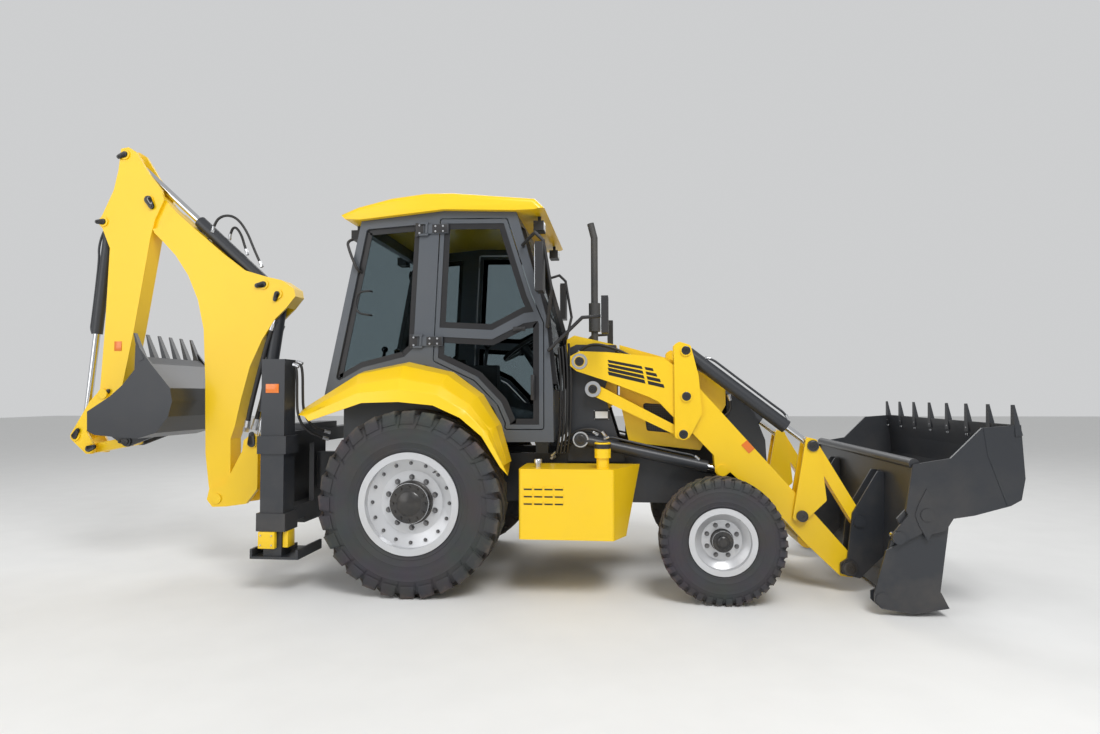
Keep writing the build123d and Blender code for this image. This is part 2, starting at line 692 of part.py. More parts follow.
# ---------------------------------------------------------------- mirrors and lamps
def mirrors_and_lamps():
    """Two mirrors on each side, on tubes from the front post, and the roof's work lamps."""
    def one(side):
        face, near, low_y = side * (CAB_HALF + FIT), side * 930, side * (CAB_HALF + 60)
        frame = chain_bar([(800, face, 2600), (800, face + side * 40, 2600), (912, near, 2660),
                           (973, near, 2600), (1033, near, 2236),
                           (985, face + side * 40, 1980), (985, face, 1980)], 13)
        frame += block(925, 980, near - side * 60, near + side * 110, 2215, 2570)
        low = chain_bar([(996, face, 1800), (996, face + side * 40, 1800),
                         (1250, low_y, 2040), (1420, low_y, 2050)], 13)
        low += block(1395, 1445, low_y - side * 30, low_y + side * 120, 1915, 2185)
        parts = [frame, low]
        for x, z in ((900, 2869), (-575, 2836)):
            lamp = block(x - 40, x + 40, side * 490, side * 630, z - 120, z - 45)
            parts.append(lamp + block(x - 12, x + 12, side * 550, side * 574, z - 60, z))
        return shell_of(*parts)
    return both(one)


# ---------------------------------------------------------------- loader arms
def arm_outline():
    return [
        (1212, 1803), (1426, 1794), (1856, 1748), (2060, 1592), (2164, 1468), (2959, 572),
        (3240, 248), (3262, 180), (3215, 118), (3130, 126), (2884, 362), (2743, 525), (2345, 880),
        (2300, 837), (2262, 842), (2236, 880), (2227, 1004), (2082, 1158), (1923, 1298),
        (1819, 1408), (1744, 1447), (1425, 1570), (1190, 1648), (1139, 1690), (1140, 1765)]


def loader_arms():
    """Two bent box arms joined by a round cross tube, with bores for the working pins."""
    outline = side_view(arm_outline())

    def one(side):
        y = side * ARM_Y
        arm = across(outline, y - ARM_W / 2, y + ARM_W / 2)
        for at, r in ((LEVER_MID, MAIN_PIN_R), (CRANK_PIN, CRANK_SLEEVE_R),
                      (BUCKET_PIN, BUCKET_SLEEVE_R)):
            arm -= pin(at, r + FIT, y - ARM_W, y + ARM_W)
        slot = strap(LIFT_EYE, toward(LIFT_EYE, LIFT_BASE, 260), 132, 80)
        arm -= across(slot, y - EYE_SLOT / 2, y + EYE_SLOT / 2)
        face = y + side * ARM_W / 2
        arm += pin_heads([ARM_PIN, LIFT_EYE], face, side)
        return arm
    arms = one(-1) + one(1)
    reach = ARM_Y - ARM_W / 2 + 5
    return arms + pin(CROSS_TUBE, CROSS_TUBE_R, -reach, reach)


EYE_SLOT = 74          # slot in the arm for the lift ram's eye


# ---------------------------------------------------------------- loader linkage
def plate_pair(sketch, side, inner=PLATE_IN, thick=PLATE_T):
    y = side * ARM_Y
    return (across(sketch, y + inner, y + inner + thick)
            + across(sketch, y - inner - thick, y - inner))


def levelling_levers():
    """A pair of tall plates astride each arm, on one pin through the arm."""
    sketch = side_view([
        (1935, 1130), (1935, 1845), (1975, 1868), (2060, 1840), (2118, 1604), (2140, 1318),
        (2040, 1130)], 25)

    def one(side):
        y = side * ARM_Y
        body = plate_pair(sketch, side)
        body += pin(LEVER_MID, MAIN_PIN_R, y - PLATE_OUT, y + PLATE_OUT)
        body += pin_heads([LEVER_TOP, LEVER_MID, LEVER_LOW], y + side * PLATE_OUT, side)
        return body
    return both(one)


def levelling_links():
    """A square bar from the tower to each lever's foot."""
    def one(side):
        y = side * ARM_Y
        half = EYE_HALF - 22
        body = across(strap(LINK_BASE, LEVER_LOW, 46, 32), y - half, y + half)
        body += pin(LEVER_LOW, 32, y - EYE_HALF, y + EYE_HALF)
        body += pin(LINK_BASE, 46, y - side * half, side * (ARM_Y - ARM_W / 2))
        body += pin_heads([LINK_BASE], y + side * half, side)
        return body
    return both(one)


def ram_barrel(base, eye, y, radius, eye_r, eye_half, length, rod_r):
    """A ram's bored barrel from its base eye towards the rod's eye."""
    mouth = toward(base, eye, length)
    body = bar_in_plane(toward(base, eye, eye_r * 0.6), mouth, radius, y)
    body += pin(base, eye_r, y - eye_half, y + eye_half)
    return body - bar_in_plane(toward(base, eye, eye_r + BORE_FLOOR), mouth, rod_r + BORE_GAP, y)


def ram_rod(base, eye, y, radius, eye_r, eye_half, tail):
    """A ram's rod, from its tail inside the barrel out to its eye."""
    body = bar_in_plane(toward(base, eye, tail), eye, radius, y)
    return body + pin(eye, eye_r, y - eye_half, y + eye_half)


BORE_GAP = 1           # round a rod in its barrel
BORE_FLOOR = 10        # metal between a barrel's eye and its bore
LIFT_BARREL = 985
LIFT_TAIL = 110
TILT_BARREL = 945
TILT_TAIL = 300
LIFT_EYE_HALF = EYE_SLOT / 2 - FIT


def lift_barrels():
    def one(side):
        y = side * ARM_Y
        return ram_barrel(LIFT_BASE, LIFT_EYE, y, LIFT_BORE_R, 50, ARM_W / 2, LIFT_BARREL,
                          LIFT_ROD_R)
    return both(one)


def lift_rods():
    def one(side):
        y = side * ARM_Y
        return ram_rod(LIFT_BASE, LIFT_EYE, y, LIFT_ROD_R, 42, LIFT_EYE_HALF, LIFT_TAIL)
    return both(one)


def tilt_barrels():
    def one(side):
        y = side * ARM_Y
        return ram_barrel(LEVER_TOP, CRANK_TOP, y, TILT_BORE_R, 48, EYE_HALF, TILT_BARREL,
                          TILT_ROD_R)
    return both(one)


def tilt_rods():
    def one(side):
        y = side * ARM_Y
        return ram_rod(LEVER_TOP, CRANK_TOP, y, TILT_ROD_R, 40, ROD_EYE_HALF, TILT_TAIL)
    return both(one)


ROD_EYE_HALF = 28      # the tilt rod's eye, between the front link's two tines


CRANK_SLEEVE_R = 45
BUCKET_SLEEVE_R = 58
PIN_CAP_T = 14


def sleeve_pin(at, sleeve_r, cap_r, side):
    """A pin with a thick sleeve inside the arm and a cap at each end."""
    y = side * ARM_Y
    half = PLATE_OUT + FIT
    body = pin(at, sleeve_r, y - ARM_W / 2, y + ARM_W / 2)
    body += pin(at, MAIN_PIN_R, y - half, y + half)
    for end in (-1, 1):
        body += pin(at, cap_r, y + end * half, y + end * (half + PIN_CAP_T))
    return body


def crank_pins():
    return both(lambda side: sleeve_pin(CRANK_PIN, CRANK_SLEEVE_R, PIN_HEAD_R, side))


def bell_cranks():
    """A pair of plates astride each arm, from the pin on the arm up to the tilt rod."""
    sketch = side_view([
        (2788, 537), (2898, 1148), (2930, 1130 + 10), (2975, 1128), (3015, 885), (3036, 680),
        (2866, 515)], 22)

    def one(side):
        y = side * ARM_Y
        body = plate_pair(sketch, side)
        return body - pin(CRANK_PIN, MAIN_PIN_R + FIT, y - PLATE_OUT - 1, y + PLATE_OUT + 1)
    return both(one)


def front_links():
    """A link from each bell crank's top to the bucket, forked round the tilt rod's eye."""
    def one(side):
        y = side * ARM_Y
        sketch = strap(CRANK_TOP, BUCKET_LINK, 44, 44)
        body = across(sketch, y - EYE_HALF, y + EYE_HALF)
        slot = strap(CRANK_TOP, toward(CRANK_TOP, BUCKET_LINK, 130), 110, 60)
        body -= across(slot, y - ROD_EYE_HALF - FIT, y + ROD_EYE_HALF + FIT)
        return body
    return both(one)


def link_pins():
    """The pins through the bell cranks' tops: outer heads that the front links turn on."""
    def one(side):
        return pin_heads([CRANK_TOP], side * ARM_Y + side * (PLATE_OUT + FIT), side)
    return both(one)


def bucket_pins():
    return both(lambda side: sleeve_pin(BUCKET_PIN, BUCKET_SLEEVE_R, BUCKET_SLEEVE_R, side))


# ---------------------------------------------------------------- loader bucket
def end_plate_outline():
    """Side plate of the fixed half, kept ahead of the jaw ram's upper pin."""
    return [
        (3462, 990), (3560, 1000), (3676, 642), (3607, 158), BLADE_TIP, (3434, 17), (3235, 50),
        (3195, 90), (3195, 145), (3222, 250), (3276, 430), (3330, 462), (3390, 500), (3380, 560),
        (3345, 640), (3400, 700)]


def loader_bucket():
    """The fixed half of the bucket: upright back sheet, blade, end plates and brackets."""
    ends = side_view(end_plate_outline())
    body = across(side_view([
        (3466, 980), (3454, 640), (3441, 330), (3482, 160), (3612, 164), BLADE_TIP, (3434, 17),
        (3420, 30), (3460, 150), (3427, 330), (3440, 640), (3452, 980)]),
        -BUCKET_INNER, BUCKET_INNER)
    body += pin((3462, 1003), 34, -BUCKET_INNER, BUCKET_INNER)
    for side in (-1, 1):
        body += across(ends, side * BUCKET_INNER, side * (BUCKET_INNER - END_PLATE_T))
        lug = side * (JAW_RAM_Y - JAW_EYE_HALF - FIT)
        plate = side_view([(3195, 90), (3195, 145), (3300, 200), (3440, 190), (3434, 17),
                           (3235, 50)], 10)
        body += across(plate, lug, lug - side * 14)
        body += pin_heads([JAW_RAM_BASE], side * BUCKET_INNER, side * 0.4)
        y = side * ARM_Y
        bracket = side_view([
            (3187 - 62, 150), (3260, 118), (3440, 300), (3440, 640), (3446, 900), (3400, 900),
            (3215, 590), (3205, 500), (3175, 260), (3125, 225)], 12)
        for lo, hi in ((PLATE_IN, PLATE_OUT), (-PLATE_OUT, -PLATE_IN)):
            body += across(bracket, y + lo, y + hi)
        body -= pin(BUCKET_PIN, MAIN_PIN_R + FIT, y - PLATE_OUT - 1, y + PLATE_OUT + 1)
        body += pin_heads([BUCKET_LINK], y + side * PLATE_OUT, side)
    return body


BUCKET_INNER = BUCKET_HALF - JAW_PLATE_T - 6
JAW_RAM_R = 24
JAW_ROD_R = 15
JAW_BARREL = 385
JAW_TAIL = 42
JAW_EYE_HALF = 28
JAW_RAM_Y = BUCKET_INNER - END_PLATE_T - FIT - JAW_EYE_HALF


def jaw_barrels():
    def one(side):
        return ram_barrel(JAW_RAM_BASE, JAW_RAM_EYE, side * JAW_RAM_Y, JAW_RAM_R, 28,
                          JAW_EYE_HALF, JAW_BARREL, JAW_ROD_R)
    return both(one)


def jaw_rods():
    def one(side):
        return ram_rod(JAW_RAM_BASE, JAW_RAM_EYE, side * JAW_RAM_Y, JAW_ROD_R, 24,
                       JAW_EYE_HALF, JAW_TAIL)
    return both(one)


def jaw_outline():
    """Side plate of the swung-up jaw, with its three bites in the lower edge."""
    return [
        (3445, 1000), (3681, 1042), (3879, 1242), (4118, 1261), (4136, 915), (4109, 777),
        (4043, 738), (3818, 672), (3690, 650), (3640, 570), (3540, 545), (3440, 600),
        (3395, 700)]


def bucket_jaw():
    """The moving half: side plates, floor sheet, toothed edge and the ram's ears."""
    plate = side_view(jaw_outline())
    outer = BUCKET_HALF
    inner = BUCKET_HALF - JAW_PLATE_T
    floor = side_view([
        (4109, 777), (4136, 915), (4130, 1080), (4118, 1261), (4078, 1262), (4104, 1078),
        (4116, 918), (4090, 772)])
    body = across(floor, -inner, inner)
    ear = strap(JAW_PIN, JAW_RAM_EYE, 90, 42)
    for side in (-1, 1):
        body += across(plate + ear, side * inner, side * outer)
        body += pin(JAW_RAM_EYE, 22, side * inner, side * (JAW_RAM_Y + JAW_EYE_HALF + FIT))
        body += pin_heads([JAW_PIN, JAW_RAM_EYE], side * outer, side)
    for number in range(JAW_TEETH):
        y = -outer + 20 + (2 * outer - 40) * number / (JAW_TEETH - 1)
        body += jaw_tooth(y)
    return body


def jaw_tooth(y):
    tip = Plane(origin=(4080, y, 1262 + TOOTH_LEN - 20), z_dir=(-0.15, 0, 1))
    root = Plane(origin=(4100, y, 1190), z_dir=(-0.15, 0, 1))
    return loft([root * Rectangle(46, 60), tip * Rectangle(8, 34)], ruled=True)


# ---------------------------------------------------------------- rear frame
LEG_PAD_TOP = 1400     # upper wear pads


def leg_pads(y, z):
    """Four wear pads inside a housing, with running clearance to the leg."""
    reach_x = LEG_HOUSING / 2 - LEG_WALL
    reach_y = LEG_HOUSING_W / 2 - LEG_WALL
    thick = LEG_GAP - FIT
    pads = None
    for s in (-1, 1):
        pad = block(LEG_X + s * (reach_x - thick), LEG_X + s * (reach_x + 1), y - 30, y + 30,
                    z - 40, z + 40)
        pad += block(LEG_X - 30, LEG_X + 30, y + s * (reach_y - thick), y + s * (reach_y + 1),
                     z - 40, z + 40)
        pads = pad if pads is None else pads + pad
    return pads


def rear_frame():
    """Two cross rails for the backhoe's carriage between the stabilizer housings."""
    body = block(LEG_X - 60, LEG_X + 60, -LEG_Y + 60, LEG_Y - 60, 1080, 1190)
    body += block(LEG_X - 60, LEG_X + 60, -LEG_Y + 60, LEG_Y - 60, 500, 610)
    for side in (-1, 1):
        y = side * LEG_Y
        outer = block(LEG_X - LEG_HOUSING / 2, LEG_X + LEG_HOUSING / 2,
                      y - LEG_HOUSING_W / 2, y + LEG_HOUSING_W / 2, HOUSING_LOW, LEG_TOP)
        inner = block(LEG_X - LEG_HOUSING / 2 + LEG_WALL, LEG_X + LEG_HOUSING / 2 - LEG_WALL,
                      y - LEG_HOUSING_W / 2 + LEG_WALL, y + LEG_HOUSING_W / 2 - LEG_WALL,
                      HOUSING_LOW - 1, LEG_TOP - 15)
        for z in (HOUSING_LOW + 66, 1100):
            outer += block(LEG_X - LEG_HOUSING / 2 - 22, LEG_X + LEG_HOUSING / 2 + 22,
                           y - LEG_HOUSING_W / 2 - 14, y + LEG_HOUSING_W / 2 + 14,
                           z - 66, z + 66)
        body += outer
        body -= inner
        for z in (HOUSING_LOW + 80, LEG_PAD_TOP):
            body += leg_pads(y, z)
        body += block(LEG_X + 20, RAIL_REAR, side * (RAIL_Y - 100), side * (RAIL_Y + 100), 610,
                      1080)
    for side in (-1, 1):
        body += block(LEG_X - 20, LEG_X + 20, side * 820, side * 870, 600, 1100)
    return body


def stabilizer(side):
    """A sliding inner leg with its foot: a channel with upturned lips and two ribs."""
    y = side * LEG_Y
    half_x = LEG_HOUSING / 2 - LEG_WALL - LEG_GAP
    half_y = LEG_HOUSING_W / 2 - LEG_WALL - LEG_GAP
    body = block(LEG_X - half_x, LEG_X + half_x, y - half_y, y + half_y, FOOT_Z + 10, 1500)
    rear, ahead = LEG_X - 162, LEG_X + 210
    outside, inside = y + side * 90, y - side * FOOT_REACH
    body += block(rear, ahead, inside, outside, FOOT_Z, FOOT_Z + FOOT_T)
    for x in (rear, ahead - FOOT_T):
        body += block(x, x + FOOT_T, inside, outside, FOOT_Z, FOOT_Z + FOOT_LIP)
    for x in (LEG_X - 40, LEG_X + 28):
        body += block(x, x + 12, inside + side * 60, y, FOOT_Z, FOOT_Z + 55)
    return body


FOOT_T = 18
FOOT_LIP = 72
FOOT_REACH = 310       # inwards from the leg


# ---------------------------------------------------------------- backhoe
CARRIAGE_X = LEG_X - 60
SWING_R = 70
SWING_EYES = ((1010, 1130), (560, 680))


def carriage():
    """A plate that slides along the rear rails, with the two swing eyes."""
    y = HOE_Y
    body = block(CARRIAGE_X - 60 - FIT, CARRIAGE_X - FIT, y - 300, y + 300, 470, 1220)
    for z0, z1 in ((1191, 1240), (450, 499)):
        body += block(CARRIAGE_X - 60 - FIT, LEG_X + 40, y - 300, y + 300, z0, z1)
    for z0, z1 in SWING_EYES:
        eye = Pos(SWING_X, y) * Circle(SWING_R)
        arm = Pos((SWING_X + CARRIAGE_X - 60) / 2, y) * Rectangle(
            CARRIAGE_X - 60 - SWING_X, 2 * SWING_R)
        body += plan(eye + arm, z0, z1)
    return body


def kingpost():
    """The swing casting: two webs from the swing pins out to the boom's foot."""
    web = side_view([
        (SWING_X - 72, 720), (SWING_X - 72, 980), (-1508, 1120), (-1555, 1150), (-1628, 1090),
        (-1640, 1000), (-1790, 720), (-1930, 680), (-1950, 590), (-1900, 530), (-1776, 535),
        (-1600, 560), (-1505, 680)], 12)
    y = HOE_Y
    z0, z1 = SWING_EYES[1][1] + FIT, SWING_EYES[0][0] - FIT
    body = Pos(SWING_X, y, (z0 + z1) / 2) * Cylinder(SWING_R, z1 - z0)
    body += block(SWING_X - 120, SWING_X, y - 60, y + 60, z0 + 30, z1 - 30)
    for side in (-1, 1):
        lo = y + side * (BOOM_HALF + FIT)
        body += across(web, lo, lo + side * 40)
        body += pin_heads([BOOM_FOOT, BOOM_RAM_BASE], lo + side * 40, side)
    body += block(SWING_X - 125, SWING_X - 72, y - BOOM_HALF - 2, y + BOOM_HALF + 2, 740, 960)
    return body


def boom_outline():
    return [
        (-1790, 545), (-1765, 640), (-1770, 1100), (-1735, 1200), (-1680, 1440), (-1606, 1712),
        (-1499, 1942), (-1391, 2108), (-1283, 2212), (-1207, 2305), (-1220, 2370), (-1330, 2444),
        (-1480, 2480), (-1664, 2536), (-1868, 2690), (-2144, 2922), (-2365, 3113), (-2470, 3225),
        (-2560, 3255), (-2635, 3195), (-2600, 3090), (-2500, 2880), (-2416, 2801),
        (-2299, 2679), (-2181, 2505), (-2087, 2289), (-2030, 2033), (-2008, 1609), (-1995, 979),
        (-1960, 700), (-1930, 570), (-1860, 530)]


def boom():
    """A curved box boom, narrowed to a tongue at its tip, with slots for the two rams."""
    low, high = HOE_Y - BOOM_HALF, HOE_Y + BOOM_HALF
    body = across(side_view(boom_outline()), low, high)
    tip = Pos(*BOOM_TIP) * Circle(TONGUE_REACH)
    body -= across(tip, low - 1, HOE_Y - TONGUE_HALF)
    body -= across(tip, HOE_Y + TONGUE_HALF, high + 1)
    slot = strap(BOOM_HUMP, toward(BOOM_HUMP, BOOM_RAM_BASE, 420), 100, 80)
    slot += strap(DIPPER_RAM_BASE, toward(DIPPER_RAM_BASE, DIPPER_TOP, 640), 80, 80)
    body -= across(slot, HOE_Y - RAM_SLOT, HOE_Y + RAM_SLOT)
    for side in (-1, 1):
        body += pin_heads([BOOM_HUMP, DIPPER_RAM_BASE], HOE_Y + side * BOOM_HALF, side)
    return body


TONGUE_HALF = 52
TONGUE_REACH = 262     # from the tip pin to where the boom is full width
RAM_SLOT = 58
BOOM_BARREL = 1010
BOOM_TAIL = 95
BOOM_RAM_R = 53
BOOM_ROD_R = 32
DIPPER_RAM_R = 52
DIPPER_ROD_R = 30
HOE_RAM_R = 45
HOE_ROD_R = 28


def boom_barrel():
    return ram_barrel(BOOM_HUMP, BOOM_RAM_BASE, HOE_Y, BOOM_RAM_R, 60, RAM_SLOT - FIT,
                      BOOM_BARREL, BOOM_ROD_R)


def boom_rod():
    return ram_rod(BOOM_HUMP, BOOM_RAM_BASE, HOE_Y, BOOM_ROD_R, 48, BOOM_HALF, BOOM_TAIL)


def dipper_outline():
    return [
        (-2833, 3640), (-2763, 3650), (-2692, 3606), (-2560, 3400), (-2445, 3262), (-2419, 3168),
        (-2500, 3000), (-2540, 2844), (-2678, 2036), (-2790, 1480), (-2850, 1190),
        (-2905, 1145), (-2970, 1180), (-2985, 1240), (-2985, 1500), (-2950, 2039),
        (-2920, 2760), (-2994, 2935), (-3041, 2990), (-2997, 3060), (-2896, 3272),
        (-2855, 3447)]


def dipper():
    """A tapering box dipper, forked round the boom's tip, with ram lugs at its head."""
    low, high = HOE_Y - DIPPER_HALF, HOE_Y + DIPPER_HALF
    body = across(side_view(dipper_outline()), low, high)
    fork = Pos(*BOOM_TIP) * Circle(TONGUE_REACH + RUN)
    x, z = DIPPER_TOP
    head = Pos(x, z) * Circle(150) + side_view([
        (x - 20, z - 60), (x + 170, z - 230), (x + 300, z - 230), (x + 300, z + 300), (x, z + 75)])
    rear = strap(BUCKET_RAM_BASE, toward(BUCKET_RAM_BASE, LEVER_ROD, 400), 75, 90)
    body -= across(fork + head + rear, HOE_Y - TONGUE_HALF - FIT, HOE_Y + TONGUE_HALF + FIT)
    for side in (-1, 1):
        body += pin_heads([DIPPER_TOP, BOOM_TIP, BUCKET_RAM_BASE], HOE_Y + side * DIPPER_HALF,
                          side)
    return body


DIPPER_BARREL = 860
DIPPER_TAIL = 745
HOE_BARREL = 985
HOE_TAIL = 600


def dipper_barrel():
    return ram_barrel(DIPPER_RAM_BASE, DIPPER_TOP, HOE_Y, DIPPER_RAM_R, 56, RAM_SLOT - FIT,
                      DIPPER_BARREL, DIPPER_ROD_R)


def dipper_rod():
    return ram_rod(DIPPER_RAM_BASE, DIPPER_TOP, HOE_Y, DIPPER_ROD_R, 45, TONGUE_HALF,
                   DIPPER_TAIL)


def hoe_ram_barrel():
    return ram_barrel(BUCKET_RAM_BASE, LEVER_ROD, HOE_Y, HOE_RAM_R, 48, TONGUE_HALF, HOE_BARREL,
                      HOE_ROD_R)


def hoe_ram_rod():
    return ram_rod(BUCKET_RAM_BASE, LEVER_ROD, HOE_Y, HOE_ROD_R, 40, TONGUE_HALF, HOE_TAIL)


LEVER_PLATE = 20


def tipping_lever():
    """Two cranked plates from the dipper to the ram's rod and the bucket link."""
    sketch = side_view([
        (-2895, 1500), (-2950, 1535), (-3060, 1420), (-3225, 1150), (-3225, 1085),
        (-3085, 965), (-3020, 965), (-3000, 1020), (-3090, 1160), (-2900, 1450)], 16)
    body = None
    for side in (-1, 1):
        lo = HOE_Y + side * (DIPPER_HALF + FIT)
        plate = across(sketch, lo, lo + side * LEVER_PLATE)
        plate += pin_heads([LEVER_PIVOT, LEVER_ROD, LEVER_LINK], lo + side * LEVER_PLATE, side)
        body = plate if body is None else body + plate
    spacer = DIPPER_HALF + FIT
    body += pin(LEVER_LINK, 30, HOE_Y - spacer, HOE_Y - LINK_HALF - FIT)
    body += pin(LEVER_LINK, 30, HOE_Y + spacer, HOE_Y + LINK_HALF + FIT)
    for side in (-1, 1):
        body += pin(LEVER_ROD, 38, HOE_Y + side * spacer, HOE_Y + side * (TONGUE_HALF + FIT))
    return body


LINK_HALF = 50


def tipping_link():
    return across(strap(LEVER_LINK, HOE_BUCKET_LINK, 40, 40), HOE_Y - LINK_HALF,
                  HOE_Y + LINK_HALF)


HOE_LIP = (-2364, 1770)
TOOTH_RISE = (-0.33, 0, 1)


def hoe_bucket():
    """A trenching bucket: wrapped shell, side plates, ears and teeth."""
    side = side_view([
        (-2421, 1880), (-2413, 1896), (-2284, 1728), (-2111, 1528), (-2091, 1420), (-2124, 1296),
        (-2227, 1164), (-2387, 1118), (-2630, 1134), (-2766, 1146), (-2835, 1179),
        (-2839, 1338), (-2637, 1463), (-2531, 1554), (-2426, 1679)])
    wrap = side_view([
        HOE_LIP, (-2350, 1786), (-2284, 1728), (-2111, 1528), (-2091, 1420), (-2124, 1296),
        (-2227, 1164), (-2387, 1118), (-2630, 1134), (-2630, 1150), (-2389, 1134), (-2236, 1178),
        (-2139, 1304), (-2108, 1420), (-2126, 1520), (-2298, 1712)])
    body = across(wrap, HOE_Y - HOE_BUCKET_HALF, HOE_Y + HOE_BUCKET_HALF)
    ear = strap(HOE_BUCKET_PIN, HOE_BUCKET_LINK, 58, 46) + side_view([
        HOE_BUCKET_PIN, HOE_BUCKET_LINK, (-2480, 1120), (-2387, 1125), (-2630, 1145),
        (-2835, 1270)])
    ear += side_view([(-2725, 1035), (-2690, 1029), (-2440, 1121), (-2640, 1145)])
    for s in (-1, 1):
        y = HOE_Y + s * HOE_BUCKET_HALF
        body += across(side, y, y - s * 20)
        lo = HOE_Y + s * (DIPPER_HALF + FIT)
        plate = across(ear, lo, lo + s * 25)
        plate += pin_heads([HOE_BUCKET_PIN, HOE_BUCKET_LINK], lo + s * 25, s)
        body += plate + pin(HOE_BUCKET_LINK, 44, lo, HOE_Y + s * (LINK_HALF + FIT))
    for number in range(HOE_TEETH):
        y = HOE_Y - HOE_BUCKET_HALF + 25 + (2 * HOE_BUCKET_HALF - 50) * number / (HOE_TEETH - 1)
        body += loft([Plane(origin=(HOE_LIP[0], y, HOE_LIP[1] - 15), z_dir=TOOTH_RISE)
                      * Rectangle(44, 58),
                      Plane(origin=(-2442, y, 1980), z_dir=TOOTH_RISE) * Rectangle(8, 36)],
                     ruled=True)
    return body


# ---------------------------------------------------------------- the whole machine
def build_nodes():
    nodes = {
        "chassis_frame": chassis_frame(),
        "rear_frame": rear_frame(),
        "engine": engine(),
        "axles": axles(),
        "cowl": cowl(),
        "nose": nose(),
        "hood": hood(),
        "cab_frame": cab_frame(),
        "cab_roof": cab_roof(),
        "cab_glass": cab_glass(),
        "seat": seat(),
        "controls": controls(),
        "fenders": both(fender),
        "side_tanks": both(side_tank),
        "mirrors_and_lamps": mirrors_and_lamps(),
        "loader_arms": loader_arms(),
        "levelling_levers": levelling_levers(),
        "levelling_links": levelling_links(),
        "lift_barrels": lift_barrels(),
        "lift_rods": lift_rods(),
        "tilt_barrels": tilt_barrels(),
        "tilt_rods": tilt_rods(),
        "crank_pins": crank_pins(),
        "bell_cranks": bell_cranks(),
        "front_links": front_links(),
        "link_pins": link_pins(),
        "bucket_pins": bucket_pins(),
        "loader_bucket": loader_bucket(),
        "bucket_jaw": bucket_jaw(),
        "jaw_barrels": jaw_barrels(),
        "jaw_rods": jaw_rods(),
        "carriage": carriage(),
        "kingpost": kingpost(),
        "boom": boom(),
        "boom_barrel": boom_barrel(),
        "boom_rod": boom_rod(),
        "dipper": dipper(),
        "dipper_barrel": dipper_barrel(),
        "dipper_rod": dipper_rod(),
        "hoe_ram_barrel": hoe_ram_barrel(),
        "hoe_ram_rod": hoe_ram_rod(),
        "tipping_lever": tipping_lever(),
        "tipping_link": tipping_link(),
        "hoe_bucket": hoe_bucket(),
    }
    for name, side in (("right", -1), ("left", 1)):
        nodes[f"door_{name}"] = door(side)
        nodes[f"door_glass_{name}"] = door_glass(side)
        nodes[f"knuckle_{name}"] = knuckle(side)
        nodes[f"stabilizer_{name}"] = stabilizer(side)
    nodes.update(wheel_nodes())
    return nodes


def main():
    os.makedirs("parts", exist_ok=True)
    nodes = build_nodes()
    boxes = [node.bounding_box() for node in nodes.values()]
    middle = (min(b.min.X for b in boxes) + max(b.max.X for b in boxes)) / 2
    for name, node in nodes.items():
        export_step(Pos(-middle, 0, 0) * node, f"parts/{name}.step")
    print("origin moved by", round(-middle, 3))


if __name__ == "__main__":
    main()
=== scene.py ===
import bmesh
import bpy
import json
import math
from mathutils import Matrix, Vector


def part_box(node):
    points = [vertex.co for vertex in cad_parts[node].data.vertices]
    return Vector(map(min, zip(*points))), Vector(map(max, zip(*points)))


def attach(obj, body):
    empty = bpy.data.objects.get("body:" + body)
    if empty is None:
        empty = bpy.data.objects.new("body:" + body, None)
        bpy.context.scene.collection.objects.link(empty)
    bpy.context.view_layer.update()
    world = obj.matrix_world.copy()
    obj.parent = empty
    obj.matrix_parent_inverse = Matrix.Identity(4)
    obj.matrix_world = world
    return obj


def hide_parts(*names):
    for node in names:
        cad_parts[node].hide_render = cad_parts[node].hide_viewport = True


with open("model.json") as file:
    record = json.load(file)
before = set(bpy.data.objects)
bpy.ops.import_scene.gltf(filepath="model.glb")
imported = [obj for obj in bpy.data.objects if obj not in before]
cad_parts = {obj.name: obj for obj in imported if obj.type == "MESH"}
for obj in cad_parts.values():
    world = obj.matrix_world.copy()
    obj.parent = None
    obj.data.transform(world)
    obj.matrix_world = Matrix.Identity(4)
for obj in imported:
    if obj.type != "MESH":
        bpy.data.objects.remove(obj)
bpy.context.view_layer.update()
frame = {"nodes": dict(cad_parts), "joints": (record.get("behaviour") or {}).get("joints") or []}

# ---------------------------------------------------------------- the studio
# A pale floor that meets a pale backdrop, a broad soft key lamp high on the right-hand
# side, a weaker fill from the rear, a lamp on the far side, and a camera at eye height.
scene = bpy.context.scene
scene.view_settings.view_transform = "Standard"

CAMERA_PLACE = (1.1211, -5.9241, 1.4713)
CAMERA_PAN, CAMERA_TILT, CAMERA_ROLL = 0.1106, 0.0391, -0.0028
FLOOR_HALF = 40.0
WORLD_GLOW, WORLD_SEEN = 0.55, 0.66

camera_data = bpy.data.cameras.new("camera")
camera_data.lens = 22.6
camera_data.sensor_width = 36.0
camera_data.clip_end = 200.0
camera = bpy.data.objects.new("camera", camera_data)
scene.collection.objects.link(camera)
camera.matrix_world = (Matrix.Translation(CAMERA_PLACE)
                       @ Matrix.Rotation(CAMERA_PAN, 4, "Z")
                       @ Matrix.Rotation(math.pi / 2 + CAMERA_TILT, 4, "X")
                       @ Matrix.Rotation(CAMERA_ROLL, 4, "Z"))
scene.camera = camera


def new_material(name):
    """A node material with its Principled shader and links at hand."""
    material = bpy.data.materials.new(name)
    material.use_nodes = True
    tree = material.node_tree
    return material, tree, tree.nodes["Principled BSDF"]


def node(tree, kind, **values):
    """One shader node, with sockets set by name and settings by attribute."""
    made = tree.nodes.new(kind)
    for key, value in values.items():
        if key in made.inputs:
            made.inputs[key].default_value = value
        else:
            setattr(made, key, value)
    return made


